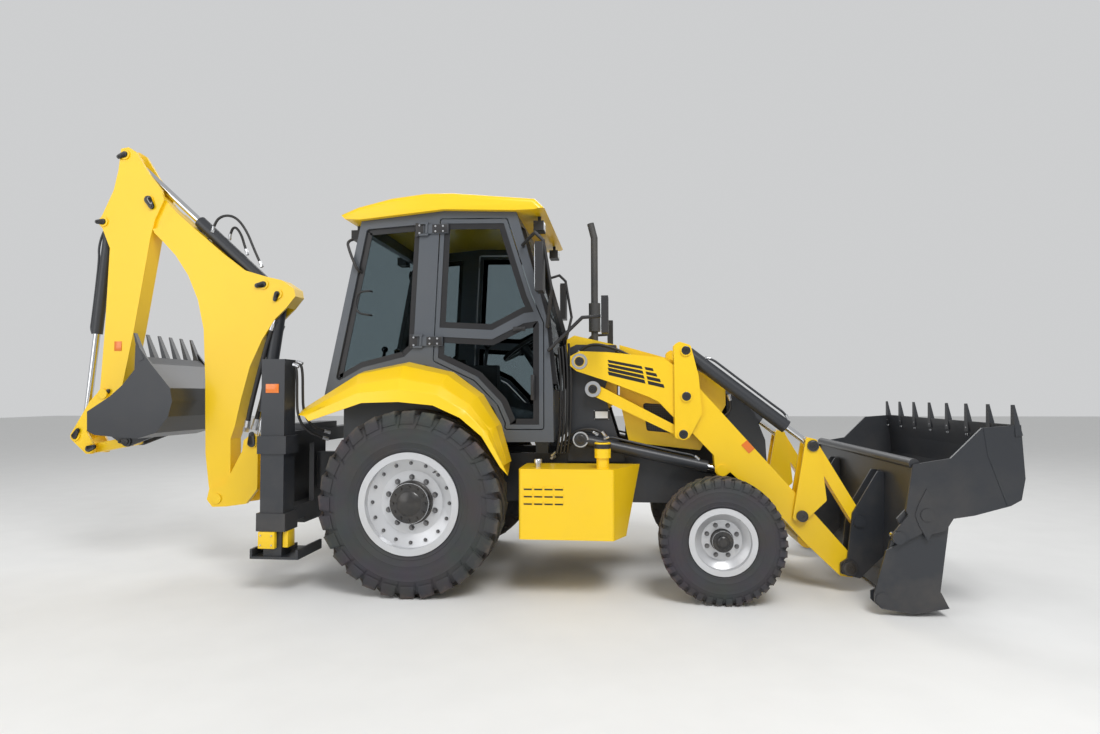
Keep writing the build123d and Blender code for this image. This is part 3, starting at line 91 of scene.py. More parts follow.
backdrop, tree, shader = new_material("studio_white")
shader.inputs["Roughness"].default_value = 0.9
grain = node(tree, "ShaderNodeTexNoise", Scale=3.0, Detail=4.0)
tint = node(tree, "ShaderNodeMixRGB", Color1=(0.86, 0.86, 0.85, 1.0), Color2=(0.80, 0.80, 0.79, 1.0))
tree.links.new(node(tree, "ShaderNodeTexCoord").outputs["Object"], grain.inputs["Vector"])
tree.links.new(grain.outputs["Fac"], tint.inputs["Fac"])
tree.links.new(tint.outputs["Color"], shader.inputs["Base Color"])

floor_mesh = bmesh.new()
bmesh.ops.create_grid(floor_mesh, x_segments=1, y_segments=1, size=FLOOR_HALF)
floor = bpy.data.objects.new("floor", bpy.data.meshes.new("floor"))
floor_mesh.to_mesh(floor.data)
floor_mesh.free()
floor.data.materials.append(backdrop)
scene.collection.objects.link(floor)

world = bpy.data.worlds.new("studio")
scene.world = world
world.use_nodes = True
world.node_tree.nodes["Background"].inputs["Color"].default_value = (0.93, 0.94, 0.95, 1.0)
seen = node(world.node_tree, "ShaderNodeLightPath")
level = node(world.node_tree, "ShaderNodeMapRange")
level.inputs["To Min"].default_value = WORLD_GLOW
level.inputs["To Max"].default_value = WORLD_SEEN
world.node_tree.links.new(seen.outputs["Is Camera Ray"], level.inputs["Value"])
world.node_tree.links.new(level.outputs["Result"],
                          world.node_tree.nodes["Background"].inputs["Strength"])


def area_lamp(name, place, aim, size, watts):
    """A soft square lamp at a place, turned to what it lights."""
    data = bpy.data.lights.new(name, "AREA")
    data.shape = "SQUARE"
    data.size = size
    data.energy = watts
    lamp = bpy.data.objects.new(name, data)
    lamp.location = place
    lamp.rotation_euler = (Vector(aim) - Vector(place)).to_track_quat("-Z", "Y").to_euler()
    scene.collection.objects.link(lamp)


area_lamp("key", (3.5, -7.5, 9.0), (0, 0, 1.2), 4.0, 660)
area_lamp("fill", (-6.0, -7.0, 4.0), (0, 0, 1.2), 6.0, 190)
area_lamp("rim", (0.0, 8.0, 8.0), (0, 0, 1.5), 6.0, 350)


# ---------------------------------------------------------------- finishes of the bodywork
# Sprayed enamel on pressed and welded steel: a slight orange-peel skin and road dust that
# settles low down.
def group(name, inputs, outputs):
    """An empty shader node group with named sockets."""
    made = bpy.data.node_groups.new(name, "ShaderNodeTree")
    for title, kind, value in inputs:
        socket = made.interface.new_socket(title, in_out="INPUT", socket_type=kind)
        if value is not None:
            socket.default_value = value
    for title, kind in outputs:
        made.interface.new_socket(title, in_out="OUTPUT", socket_type=kind)
    return made, made.nodes.new("NodeGroupInput"), made.nodes.new("NodeGroupOutput")


dust, d_in, d_out = group("dust", [
    ("Color", "NodeSocketColor", (0.5, 0.5, 0.5, 1.0)),
    ("Dust", "NodeSocketColor", (0.36, 0.29, 0.21, 1.0)),
    ("Amount", "NodeSocketFloat", 0.3),
    ("Scale", "NodeSocketFloat", 3.0)], [("Color", "NodeSocketColor"), ("Mask", "NodeSocketFloat")])
coords = node(dust, "ShaderNodeTexCoord")
low = node(dust, "ShaderNodeTexNoise", Detail=6.0, Roughness=0.62)
height = node(dust, "ShaderNodeSeparateXYZ")
fade = node(dust, "ShaderNodeMapRange")
for key, value in (("From Min", 0.1), ("From Max", 1.3), ("To Min", 1.0), ("To Max", 0.18)):
    fade.inputs[key].default_value = value
patch = node(dust, "ShaderNodeMapRange")
for key, value in (("From Min", 0.42), ("From Max", 0.75), ("To Min", 0.0), ("To Max", 1.0)):
    patch.inputs[key].default_value = value
by_height = node(dust, "ShaderNodeMath", operation="MULTIPLY")
amount = node(dust, "ShaderNodeMath", operation="MULTIPLY")
mix = node(dust, "ShaderNodeMixRGB")
links = dust.links
links.new(coords.outputs["Object"], low.inputs["Vector"])
links.new(d_in.outputs["Scale"], low.inputs["Scale"])
links.new(coords.outputs["Object"], height.inputs["Vector"])
links.new(height.outputs["Z"], fade.inputs["Value"])
links.new(low.outputs["Fac"], patch.inputs["Value"])
links.new(patch.outputs["Result"], by_height.inputs[0])
links.new(fade.outputs["Result"], by_height.inputs[1])
links.new(by_height.outputs["Value"], amount.inputs[0])
links.new(d_in.outputs["Amount"], amount.inputs[1])
links.new(amount.outputs["Value"], mix.inputs["Fac"])
links.new(d_in.outputs["Color"], mix.inputs["Color1"])
links.new(d_in.outputs["Dust"], mix.inputs["Color2"])
links.new(mix.outputs["Color"], d_out.inputs["Color"])
links.new(amount.outputs["Value"], d_out.inputs["Mask"])

skin, s_in, s_out = group("skin", [
    ("Scale", "NodeSocketFloat", 400.0), ("Depth", "NodeSocketFloat", 0.1)],
    [("Normal", "NodeSocketVector")])
coords = node(skin, "ShaderNodeTexCoord")
peel = node(skin, "ShaderNodeTexNoise", Detail=2.0)
bump = node(skin, "ShaderNodeBump", Distance=0.0006)
skin.links.new(coords.outputs["Object"], peel.inputs["Vector"])
skin.links.new(s_in.outputs["Scale"], peel.inputs["Scale"])
skin.links.new(peel.outputs["Fac"], bump.inputs["Height"])
skin.links.new(s_in.outputs["Depth"], bump.inputs["Strength"])
skin.links.new(bump.outputs["Normal"], s_out.inputs["Normal"])


def finish_of(name, color, rough, metal=0.0, coat=0.0, dust_amount=0.25, grain=400.0, depth=0.1,
              vary=0.06):
    """A paint, metal or plastic: base colour with drifts in tone, dust and a fine skin."""
    material, tree, shader = new_material(name)
    tone = node(tree, "ShaderNodeTexNoise", Scale=1.7, Detail=5.0)
    spread = node(tree, "ShaderNodeMixRGB", Color1=(*[c * (1 - vary) for c in color], 1.0),
                  Color2=(*[min(1.0, c * (1 + vary)) for c in color], 1.0))
    dirt = node(tree, "ShaderNodeGroup", node_tree=dust)
    dirt.inputs["Amount"].default_value = dust_amount
    face = node(tree, "ShaderNodeGroup", node_tree=skin)
    face.inputs["Scale"].default_value = grain
    face.inputs["Depth"].default_value = depth
    gloss = node(tree, "ShaderNodeMapRange")
    gloss.inputs["To Min"].default_value = rough
    gloss.inputs["To Max"].default_value = min(1.0, rough + 0.45)
    tree.links.new(node(tree, "ShaderNodeTexCoord").outputs["Object"], tone.inputs["Vector"])
    tree.links.new(tone.outputs["Fac"], spread.inputs["Fac"])
    tree.links.new(spread.outputs["Color"], dirt.inputs["Color"])
    tree.links.new(dirt.outputs["Color"], shader.inputs["Base Color"])
    tree.links.new(dirt.outputs["Mask"], gloss.inputs["Value"])
    tree.links.new(gloss.outputs["Result"], shader.inputs["Roughness"])
    tree.links.new(face.outputs["Normal"], shader.inputs["Normal"])
    shader.inputs["Metallic"].default_value = metal
    shader.inputs["Coat Weight"].default_value = coat
    shader.inputs["Coat Roughness"].default_value = 0.12
    return material


def dress(material, *names):
    """Gives CAD nodes one finish."""
    for name in names:
        mesh = frame["nodes"][name].data
        mesh.materials.clear()
        mesh.materials.append(material)


yellow = finish_of("yellow_enamel", (0.93, 0.60, 0.006), 0.36, coat=0.2, dust_amount=0.06)
charcoal = finish_of("charcoal_enamel", (0.026, 0.029, 0.035), 0.42, coat=0.12, dust_amount=0.12)
cab_grey = finish_of("cab_grey_enamel", (0.075, 0.085, 0.10), 0.40, coat=0.2, dust_amount=0.15)
chrome = finish_of("rod_chrome", (0.72, 0.73, 0.75), 0.12, metal=1.0, dust_amount=0.1, depth=0.02)
pin_steel = finish_of("pin_steel", (0.09, 0.09, 0.095), 0.38, metal=0.8, dust_amount=0.2)
iron = finish_of("engine_iron", (0.05, 0.05, 0.05), 0.6, dust_amount=0.5)
black_plastic = finish_of("black_plastic", (0.018, 0.018, 0.02), 0.5, dust_amount=0.2, grain=250.0,
                          depth=0.3)
cloth = finish_of("seat_cloth", (0.03, 0.03, 0.034), 0.9, dust_amount=0.1, grain=900.0, depth=0.6)

glass, tree, shader = new_material("tinted_glass")
shader.inputs["Base Color"].default_value = (0.40, 0.46, 0.48, 1.0)
shader.inputs["Roughness"].default_value = 0.02
shader.inputs["Transmission Weight"].default_value = 1.0
shader.inputs["IOR"].default_value = 1.02
shader.inputs["Specular IOR Level"].default_value = 0.6

dress(yellow, "cowl", "hood", "cab_roof", "fenders", "side_tanks", "loader_arms", "boom", "dipper",
      "levelling_levers", "levelling_links", "bell_cranks", "front_links", "kingpost",
      "tipping_lever", "tipping_link")
dress(charcoal, "chassis_frame", "rear_frame", "axles", "lift_barrels", "tilt_barrels",
      "loader_bucket", "bucket_jaw", "jaw_barrels", "carriage", "hoe_bucket", "stabilizer_left",
      "stabilizer_right", "knuckle_left", "knuckle_right", "nose", "boom_barrel", "dipper_barrel",
      "hoe_ram_barrel")
dress(chrome, "lift_rods", "tilt_rods", "jaw_rods", "boom_rod", "dipper_rod", "hoe_ram_rod")
dress(pin_steel, "crank_pins", "bucket_pins", "link_pins")
dress(cab_grey, "cab_frame", "door_left", "door_right")
dress(glass, "cab_glass", "door_glass_left", "door_glass_right")
dress(cloth, "seat")
dress(black_plastic, "controls", "mirrors_and_lamps")
dress(iron, "engine")

# ---------------------------------------------------------------- tyres
# Cross-ply rubber tyres. A smooth carcass is turned round the axle, and cast lugs run from
# the middle of the tread out over each shoulder, staggered by half a pitch left to right.
JOINTS = {joint["name"]: joint for joint in frame["joints"]}
REAR_AXLE_X = JOINTS["rear_wheel_right_spin"]["pos_m"][0]
SIDES = (("right", -1), ("left", 1))


def turned(profile, steps=96):
    """A closed outline of (radius, y) in metres, spun round the Y axis."""
    shape = bmesh.new()
    ring = [shape.verts.new((radius, y, 0)) for radius, y in profile]
    edges = [shape.edges.new(pair) for pair in zip(ring, ring[1:] + ring[:1])]
    bmesh.ops.spin(shape, geom=ring + edges, cent=(0, 0, 0), axis=(0, 1, 0), angle=2 * math.pi,
                   steps=steps, use_merge=True)
    bmesh.ops.remove_doubles(shape, verts=shape.verts, dist=1e-6)
    bmesh.ops.recalc_face_normals(shape, faces=shape.faces)
    return shape


def repeated(part, places):
    """One shape with a copy of a small part at each place."""
    unit = bpy.data.meshes.new("unit")
    part.to_mesh(unit)
    part.free()
    joined = bmesh.new()
    for place in places:
        copy = unit.copy()
        copy.transform(place)
        joined.from_mesh(copy)
        bpy.data.meshes.remove(copy)
    bpy.data.meshes.remove(unit)
    return joined


def merged(*shapes):
    """Several shapes in one, each kept as its own closed shell."""
    first = shapes[0]
    for other in shapes[1:]:
        mesh = bpy.data.meshes.new("part")
        other.to_mesh(mesh)
        other.free()
        first.from_mesh(mesh)
        bpy.data.meshes.remove(mesh)
    return first


def fitted(shape, name, material, body, at=(0, 0, 0), side=1, sharp=0.6):
    """A shape put in its place as a piece, mirrored across for the right-hand side."""
    if side < 0:
        bmesh.ops.scale(shape, vec=(1, -1, 1), verts=shape.verts)
        bmesh.ops.reverse_faces(shape, faces=shape.faces)
    bmesh.ops.translate(shape, vec=at, verts=shape.verts)
    mesh = bpy.data.meshes.new(name)
    shape.to_mesh(mesh)
    shape.free()
    mesh.shade_smooth()
    mesh.set_sharp_from_angle(angle=sharp)
    mesh.materials.append(material)
    made = bpy.data.objects.new(name, mesh)
    scene.collection.objects.link(made)
    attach(made, body)
    return made


def lug(radius, half, depth, pitch, fill, sweep):
    """One lug: from the tread's middle, leaning forward, out over the shoulder."""
    shape = bmesh.new()
    bmesh.ops.create_cube(shape, size=1)
    long = [e for e in shape.edges if abs(e.verts[0].co.y - e.verts[1].co.y) > 0.5]
    bmesh.ops.subdivide_edges(shape, edges=long, cuts=7)
    for vert in shape.verts:
        along, out, top = vert.co.x, vert.co.y + 0.5, vert.co.z + 0.5
        over = max(0.0, (out - 0.74) / 0.26)
        reach = half * (0.05 + 0.80 * min(1.0, out / 0.74)) + half * 0.135 * math.sin(over * 1.45)
        height = radius - radius * 0.012 * out ** 2 - radius * 0.115 * (1 - math.cos(over * 1.45))
        height -= (1 - top) * depth * (1.0 - 0.5 * over)
        width = pitch * (fill * (0.86 + 0.14 * out) + 0.08 * (1 - top))
        angle = along * width + pitch * sweep * (out - 0.8) * abs(out - 0.8)
        vert.co = (height * math.cos(angle), reach, height * math.sin(angle))
    crest = [e for e in shape.edges if e.calc_face_angle(0) > 0.75
             and min(v.co.xz.length for v in e.verts) > radius - depth * 0.5 - radius * 0.14]
    bmesh.ops.bevel(shape, geom=crest, offset=depth * 0.16, affect="EDGES", segments=2,
                    profile=0.5, material=-1)
    bmesh.ops.recalc_face_normals(shape, faces=shape.faces)
    return shape


def carcass(radius, half, bead, bead_half, rim, depth):
    """The tyre without its lugs, with the moulded rings of its sidewall."""
    wall = radius - bead
    side = [(bead, bead_half - 0.001), (rim + 0.001, bead_half - 0.001), (rim + 0.006, bead_half + 0.005)]
    for share, width in ((0.16, 0.865), (0.19, 0.885), (0.20, 0.872), (0.30, 0.935), (0.32, 0.955),
                         (0.335, 0.945), (0.42, 0.982), (0.52, 0.992), (0.60, 0.982), (0.615, 0.992),
                         (0.63, 0.978), (0.72, 0.955), (0.80, 0.92), (0.86, 0.87)):
        side.append((bead + wall * share, half * width))
    side += [(radius - depth, half * 0.72), (radius - depth * 0.9, half * 0.3)]
    return turned(side + [(r, -y) for r, y in reversed(side)])


def tyre_material(name, tread_color, wall_color, middle, reach):
    """Rubber whose crown carries dried soil and whose wall is a duller black."""
    material, tree, shader = new_material(name)
    worn = node(tree, "ShaderNodeAttribute", attribute_name="crown")
    noise = node(tree, "ShaderNodeTexNoise", Scale=26.0, Detail=8.0, Roughness=0.65)
    blotch = node(tree, "ShaderNodeMath", operation="MULTIPLY_ADD")
    blotch.inputs[1].default_value = 0.9
    ramp = node(tree, "ShaderNodeMapRange")
    ramp.inputs["From Min"].default_value = middle
    ramp.inputs["From Max"].default_value = middle + reach
    mix = node(tree, "ShaderNodeMixRGB", Color1=(*wall_color, 1.0), Color2=(*tread_color, 1.0))
    film = node(tree, "ShaderNodeTexNoise", Scale=5.0, Detail=4.0)
    haze = node(tree, "ShaderNodeMixRGB", blend_type="MULTIPLY", Fac=0.45)
    bump = node(tree, "ShaderNodeBump", Strength=0.35, Distance=0.002)
    coords = node(tree, "ShaderNodeTexCoord").outputs["Object"]
    tree.links.new(coords, noise.inputs["Vector"])
    tree.links.new(coords, film.inputs["Vector"])
    tree.links.new(noise.outputs["Fac"], blotch.inputs[0])
    tree.links.new(worn.outputs["Fac"], blotch.inputs[2])
    tree.links.new(blotch.outputs["Value"], ramp.inputs["Value"])
    tree.links.new(ramp.outputs["Result"], mix.inputs["Fac"])
    tree.links.new(mix.outputs["Color"], haze.inputs["Color1"])
    tree.links.new(film.outputs["Color"], haze.inputs["Color2"])
    tree.links.new(haze.outputs["Color"], shader.inputs["Base Color"])
    tree.links.new(noise.outputs["Fac"], bump.inputs["Height"])
    tree.links.new(bump.outputs["Normal"], shader.inputs["Normal"])
    shader.inputs["Roughness"].default_value = 0.78
    return material


rubber = tyre_material("tyre_rubber", (0.20, 0.155, 0.115), (0.055, 0.055, 0.058), 1.15, 0.75)
TYRES = {
    # radius, half width, bead, bead half, rim, lugs on each side, depth, fill, sweep
    "rear": (0.679, 0.1870, 0.3352, 0.150, 0.372, 28, 0.030, 0.69, 1.9),
    "front": (0.4395, 0.1245, 0.2082, 0.098, 0.235, 38, 0.014, 0.62, 1.1),
}
for end, (radius, half, bead, bead_half, rim, count, depth, fill, sweep) in TYRES.items():
    for name, side in SIDES:
        pitch = 2 * math.pi / count
        tread = lug(radius, half, depth, pitch, fill, sweep)
        stagger = [Matrix.Rotation(pitch * n, 4, "Y") for n in range(count)]
        other = [Matrix.Rotation(pitch * (n + 0.5), 4, "Y") @ Matrix.Rotation(math.pi, 4, "X")
                 for n in range(count)]
        body = merged(carcass(radius, half, bead, bead_half, rim, depth),
                      repeated(tread, stagger + other))
        for vert in body.verts:
            over = max(1.0, vert.co.xz.length / (radius + 0.0005))
            vert.co.x, vert.co.z = vert.co.x / over, vert.co.z / over
        hub = Vector(JOINTS[f"{end}_wheel_{name}_spin"]["pos_m"])
        tyre = fitted(body, f"{end}_tyre_{name}_rubber", rubber, f"{end}_wheel_{name}",
                      hub, side)
        crown = tyre.data.attributes.new("crown", "FLOAT", "POINT")
        spread = [max(0.0, ((v.co - hub).xz.length - bead) / (radius - bead)) ** 3
                  for v in tyre.data.vertices]
        crown.data.foreach_set("value", spread)
        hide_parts(f"{end}_tyre_{name}")

# ---------------------------------------------------------------- wheel discs and hubs
# Pressed steel rims, sprayed silver. Studs hold each disc to a cast hub, black with grease,
# and the rear disc is bolted to its rim by a second ring of smaller bolts.
def facing(x, y, z, side, turn=0.0):
    """A place in metres whose own Z points outwards from one side of the machine."""
    return (Matrix.Translation((x, y, z)) @ Matrix.Rotation(-side * math.pi / 2, 4, "X")
            @ Matrix.Rotation(turn, 4, "Z"))


def hex_bolt(size, height):
    """A hexagon head on its washer, standing on z = 0."""
    shape = bmesh.new()
    bmesh.ops.create_cone(shape, cap_ends=True, segments=6, radius1=size / 2, radius2=size * 0.47,
                          depth=height, matrix=Matrix.Translation((0, 0, height * 0.72)))
    bmesh.ops.create_cone(shape, cap_ends=True, segments=18, radius1=size * 0.72,
                          radius2=size * 0.66, depth=height * 0.24,
                          matrix=Matrix.Translation((0, 0, height * 0.12)))
    return shape


rim_paint = finish_of("rim_enamel", (0.60, 0.61, 0.63), 0.30, metal=0.35, coat=0.2, dust_amount=0.22)
stud_steel = finish_of("stud_steel", (0.17, 0.17, 0.175), 0.34, metal=0.9, dust_amount=0.15)
hub_black = finish_of("hub_black", (0.016, 0.016, 0.017), 0.34, coat=0.3, dust_amount=0.25)
DISCS = {
    # disc face, hub radius, hub face, stud circle, studs, stud size, valve radius
    "rear": (0.067, 0.147, 0.136, 0.184, 10, 0.030, 0.288),
    "front": (0.021, 0.074, 0.092, 0.111, 8, 0.024, 0.198),
}
for end, (disc, hub_r, hub_y, circle, count, size, valve_r) in DISCS.items():
    for name, side in SIDES:
        body = f"{end}_wheel_{name}"
        hub = Vector(JOINTS[f"{body}_spin"]["pos_m"])
        ring = [Matrix.Rotation(2 * math.pi * (n + 0.5) / count, 4, "Y")
                @ facing(circle, disc, 0, 1) for n in range(count)]
        studs = repeated(hex_bolt(size, size * 0.62), ring)
        if end == "rear":
            small = [Matrix.Rotation(2 * math.pi * n / 16, 4, "Y") @ facing(0.289, disc + 0.0235, 0, 1)
                     for n in range(16)]
            studs = merged(studs, repeated(hex_bolt(0.020, 0.014), small))
        fitted(studs, f"{end}_wheel_studs_{name}", stud_steel, body, hub, side)
        cap = turned([(0.0001, hub_y + 0.022), (hub_r * 0.36, hub_y + 0.022),
                      (hub_r * 0.42, hub_y + 0.016), (hub_r * 0.55, hub_y + 0.012),
                      (hub_r * 0.62, hub_y + 0.004), (hub_r * 0.97, hub_y + 0.003),
                      (hub_r * 1.012, hub_y - 0.006), (hub_r * 1.012, disc + 0.016),
                      (hub_r * 1.09, disc + 0.010), (hub_r * 1.09, disc), (0.0001, disc)], 48)
        rim_bolts = [Matrix.Rotation(2 * math.pi * n / 12, 4, "Y")
                     @ facing(hub_r * 0.82, hub_y + 0.003, 0, 1) for n in range(12)]
        cap = merged(cap, repeated(hex_bolt(hub_r * 0.13, hub_r * 0.07), rim_bolts))
        fitted(cap, f"{end}_hub_cap_{name}", hub_black, body, hub, side)
        beads = turned([(valve_r * 1.13, disc + 0.062), (valve_r * 1.145, disc + 0.062),
                        (valve_r * 1.145, disc + 0.066), (valve_r * 1.13, disc + 0.066)])
        stem = bmesh.new()
        bmesh.ops.create_cone(stem, cap_ends=True, segments=12, radius1=0.009, radius2=0.007,
                              depth=0.055, matrix=Matrix.Translation((0, 0, 0.020)))
        lean = Matrix.Rotation(-0.9, 4, "Y") @ facing(valve_r, disc + 0.012, 0, 1)
        fitted(merged(beads, repeated(stem, [lean])), f"{end}_valve_{name}", stud_steel, body,
               hub, side)
        dress(rim_paint, f"{end}_rim_{name}")

# ---------------------------------------------------------------- pin heads of the loader
# Hardened pins through the linkage's eyes: each has a black keeper cap with a socket screw,
# and the three pins on the tower carry a bright thrust washer behind the cap.
MM = 0.001


def spot(x, y, z):
    """A place in the frame from millimetres ahead of the rear axle, to the left, and up."""
    return Vector((REAR_AXLE_X + x * MM, y * MM, z * MM))


def outward(x, y, z, side):
    """A place whose own Y points outwards from one side of the machine."""
    return Matrix.Translation(spot(x, y, z)) @ Matrix.Rotation(math.pi if side < 0 else 0, 4, "X")


def keeper_cap(radius, thick):
    """A chamfered cap about the Y axis with a sunk ring round its socket screw."""
    cap = turned([(0.0001, thick * 0.3), (radius * 0.30, thick * 0.3), (radius * 0.32, thick * 0.95),
                  (radius * 0.62, thick * 0.95), (radius * 0.66, thick * 0.55),
                  (radius * 0.88, thick * 0.55), (radius, thick * 0.2), (radius, -0.001),
                  (0.0001, -0.001)], 36)
    return merged(cap, repeated(hex_bolt(radius * 0.34, thick * 0.35), [facing(0, thick * 0.28, 0, 1)]))


bright_zinc = finish_of("bright_zinc", (0.62, 0.63, 0.65), 0.28, metal=0.9, dust_amount=0.12)
LOADER_PINS = {
    # body: radius, then the places of its pins ahead of the rear axle and up
    "levelling_levers": (34, [(2024, 1799), (2024, 1451), (1999, 1164)]),
    "crank_pins": (40, [(2858, 564)]),
    "link_pins": (34, [(2944, 1083)]),
    "bucket_pins": (44, [(3187, 192)]),
    "loader_arms": (36, [(1212, 1723)]),
    "levelling_links": (34, [(1314, 1508)]),
    "lift_barrels": (34, [(1217, 1118)]),
}
for node_name, (radius, places) in LOADER_PINS.items():
    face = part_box(node_name)[1].y / MM
    at = [outward(x, side * face, z, side) for x, z in places for _, side in SIDES]
    fitted(repeated(keeper_cap(radius * MM, 0.006), at), f"keeper_caps_{node_name}", hub_black,
           node_name)
    if node_name in ("loader_arms", "levelling_links", "lift_barrels"):
        washer = turned([(0.036, 0.002), (0.060, 0.002), (0.062, 0.0), (0.062, -0.004),
                         (0.036, -0.004)], 48)
        at = [outward(x, side * (face - 8), z, side) for x, z in places for _, side in SIDES]
        fitted(repeated(washer, at), f"thrust_washers_{node_name}", bright_zinc, node_name)

# ---------------------------------------------------------------- pins and keepers of the backhoe
# Each pin has a flat keeper forged on its head, held by one bolt beside the pin.
HOE_Y = JOINTS["boom"]["pos_m"][1] / MM


def keeper_flag(reach, radius, thick):
    """An oval keeper from the pin at the origin to its bolt along X, standing on z = 0."""
    shape = bmesh.new()
    for x, r in ((0, radius), (reach, radius * 0.72)):
        bmesh.ops.create_circle(shape, segments=28, radius=r, matrix=Matrix.Translation((x, 0, 0)))
    hull = bmesh.ops.convex_hull(shape, input=shape.verts[:])
    loose = [v for v in hull["geom_interior"] if isinstance(v, bmesh.types.BMVert)]
    bmesh.ops.delete(shape, geom=loose, context="VERTS")
    up = bmesh.ops.extrude_face_region(shape, geom=shape.faces[:])
    bmesh.ops.translate(shape, vec=(0, 0, thick),
                        verts=[v for v in up["geom"] if isinstance(v, bmesh.types.BMVert)])
    bmesh.ops.recalc_face_normals(shape, faces=shape.faces)
    rims = [e for e in shape.edges if e.calc_face_angle(0) > 1.2
            and min(v.co.z for v in e.verts) > thick * 0.5]
    bmesh.ops.bevel(shape, geom=rims, offset=thick * 0.25, affect="EDGES", segments=2, profile=0.5,
                    material=-1)
    bolt = repeated(hex_bolt(radius * 0.62, thick * 0.7), [Matrix.Translation((reach, 0, thick))])
    return merged(shape, bolt)


HOE_KEEPERS = {
    # body: (pin ahead of the axle, pin up, bolt's angle in degrees, pin radius) for each pin
    "boom": [(-1490, 2410, 190, 27), (-1365, 2326, 250, 24), (-1860, 600, 0, 34)],
    "dipper": [(-2560, 3175, -60, 34), (-2790, 3584, 200, 27), (-2982, 2994, 180, 26),
               (-2936, 1484, 30, 24), (-2911, 1225, 200, 30)],
    "tipping_lever": [(-3185, 1119, 60, 27), (-3052, 1009, 20, 27)],
    "hoe_bucket": [(-2700, 1075, 180, 26)],
    "kingpost": [(-1550, 1067, 90, 34)],
}
for body, keepers in HOE_KEEPERS.items():
    low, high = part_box(body)
    faces = {-1: low.y / MM, 1: high.y / MM}
    if body == "hoe_bucket":
        faces = {-1: HOE_Y - 114, 1: HOE_Y + 114}
    shapes = []
    for x, z, angle, radius in keepers:
        at = [Matrix.Translation(spot(x, faces[side], z)) @ facing(0, 0, 0, side)
              @ Matrix.Rotation(-side * math.radians(angle), 4, "Z") for side in (-1, 1)]
        shapes.append(repeated(keeper_flag(radius * 2.1 * MM, radius * MM, 0.009), at))
    fitted(merged(*shapes), f"pin_keepers_{body}", hub_black, body)

# ---------------------------------------------------------------- hoses and steel pipes
# Black rubber hoses, most with zinc crimps on their ends, and painted steel pipes along the
# rams. Each one rides whole on one body, also where a real hose would cross a joint. The
# clamps are left out, so some ends stand clear of what they would be fixed to.
hose_rubber = finish_of("hose_rubber", (0.018, 0.018, 0.019), 0.48, dust_amount=0.2, grain=900.0,
                        depth=0.35)


def pipe(name, body, width, places, material):
    """A round pipe or hose through places given from the rear axle in millimetres."""
    line = bpy.data.curves.new(name, "CURVE")
    line.dimensions = "3D"
    line.bevel_depth = width / 2 * MM
    line.bevel_resolution = 3
    line.resolution_u = 8
    line.use_fill_caps = True
    run = line.splines.new("NURBS")
    run.points.add(len(places) - 1)
    for point, place in zip(run.points, places):
        point.co = (*spot(*place), 1.0)
    run.order_u = 3
    run.use_endpoint_u = True
    line.materials.append(material)
    made = bpy.data.objects.new(name, line)
    scene.collection.objects.link(made)
    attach(made, body)
    return made


def crimps(name, body, width, places):
    """Swaged ferrules with a hexagon on both ends of a hose or pipe."""
    shapes = []
    for end, after in ((places[0], places[1]), (places[-1], places[-2])):
        start, aim = spot(*end), spot(*after) - spot(*end)
        stand = Matrix.Translation(start) @ aim.to_track_quat("Z", "Y").to_matrix().to_4x4()
        ferrule = bmesh.new()
        for reach, size, sides in ((0.9, 0.72, 6), (2.4, 0.62, 20)):
            bmesh.ops.create_cone(ferrule, cap_ends=True, segments=sides, radius1=width * size * MM,
                                  radius2=width * size * MM, depth=width * reach * MM,
                                  matrix=Matrix.Translation((0, 0, width * reach * MM / 2)))
        shapes.append(repeated(ferrule, [stand]))
    return fitted(merged(*shapes), name, bright_zinc, body)


def along(start, end, *steps, y):
    """Places beside a ram: (distance from its base, height above its line) for each step."""
    line = (Vector(end) - Vector(start)).normalized()
    up = Vector((-line.y, line.x))
    made = [Vector(start) + line * reach + up * height for reach, height in steps]
    return [(place.x, y, place.y) for place in made]


def mirrored(places, side):
    """The same places on one side of the machine, their Y counted outwards."""
    return [(x, side * y, z) for x, y, z in places]


LIFT, TILT = ((1217, 1118), (2288, 892)), ((2024, 1799), (2944, 1083))
SINGLE_RUNS = {
    # name: body, width, the places
    "boom_hose_outer": ("boom", 40, [
        (-1400, -352, 2110), (-1452, -352, 1960), (-1520, -352, 1720), (-1590, -352, 1440),
        (-1630, -350, 1270), (-1652, -342, 1160)]),
    "boom_hose_inner": ("boom", 40, [
        (-1372, -282, 2070), (-1420, -282, 1930), (-1476, -282, 1710), (-1545, -282, 1430),
        (-1590, -284, 1270), (-1612, -290, 1170)]),
    "dipper_hose_high": ("dipper_barrel", 22, [
        (-1985, -345, 2880), (-1960, -352, 2975), (-1880, -345, 3030), (-1775, -335, 3010),
        (-1680, -330, 2890), (-1600, -330, 2700), (-1535, -330, 2570)]),
    "dipper_hose_low": ("dipper_barrel", 22, [
        (-1880, -262, 2830), (-1865, -258, 2925), (-1820, -262, 2945), (-1765, -265, 2870),
        (-1735, -270, 2780), (-1700, -275, 2690)]),
    "boom_back_hose": ("boom", 24, [
        (-2440, -330, 3085), (-2350, -330, 3010), (-2260, -330, 2930), (-2170, -332, 2870),
        (-2060, -335, 2800), (-1930, -335, 2700), (-1800, -335, 2575)]),
}
for name, (body, width, places) in SINGLE_RUNS.items():
    pipe(name, body, width, places, hose_rubber)
    crimps(f"{name}_crimps", body, width, places)

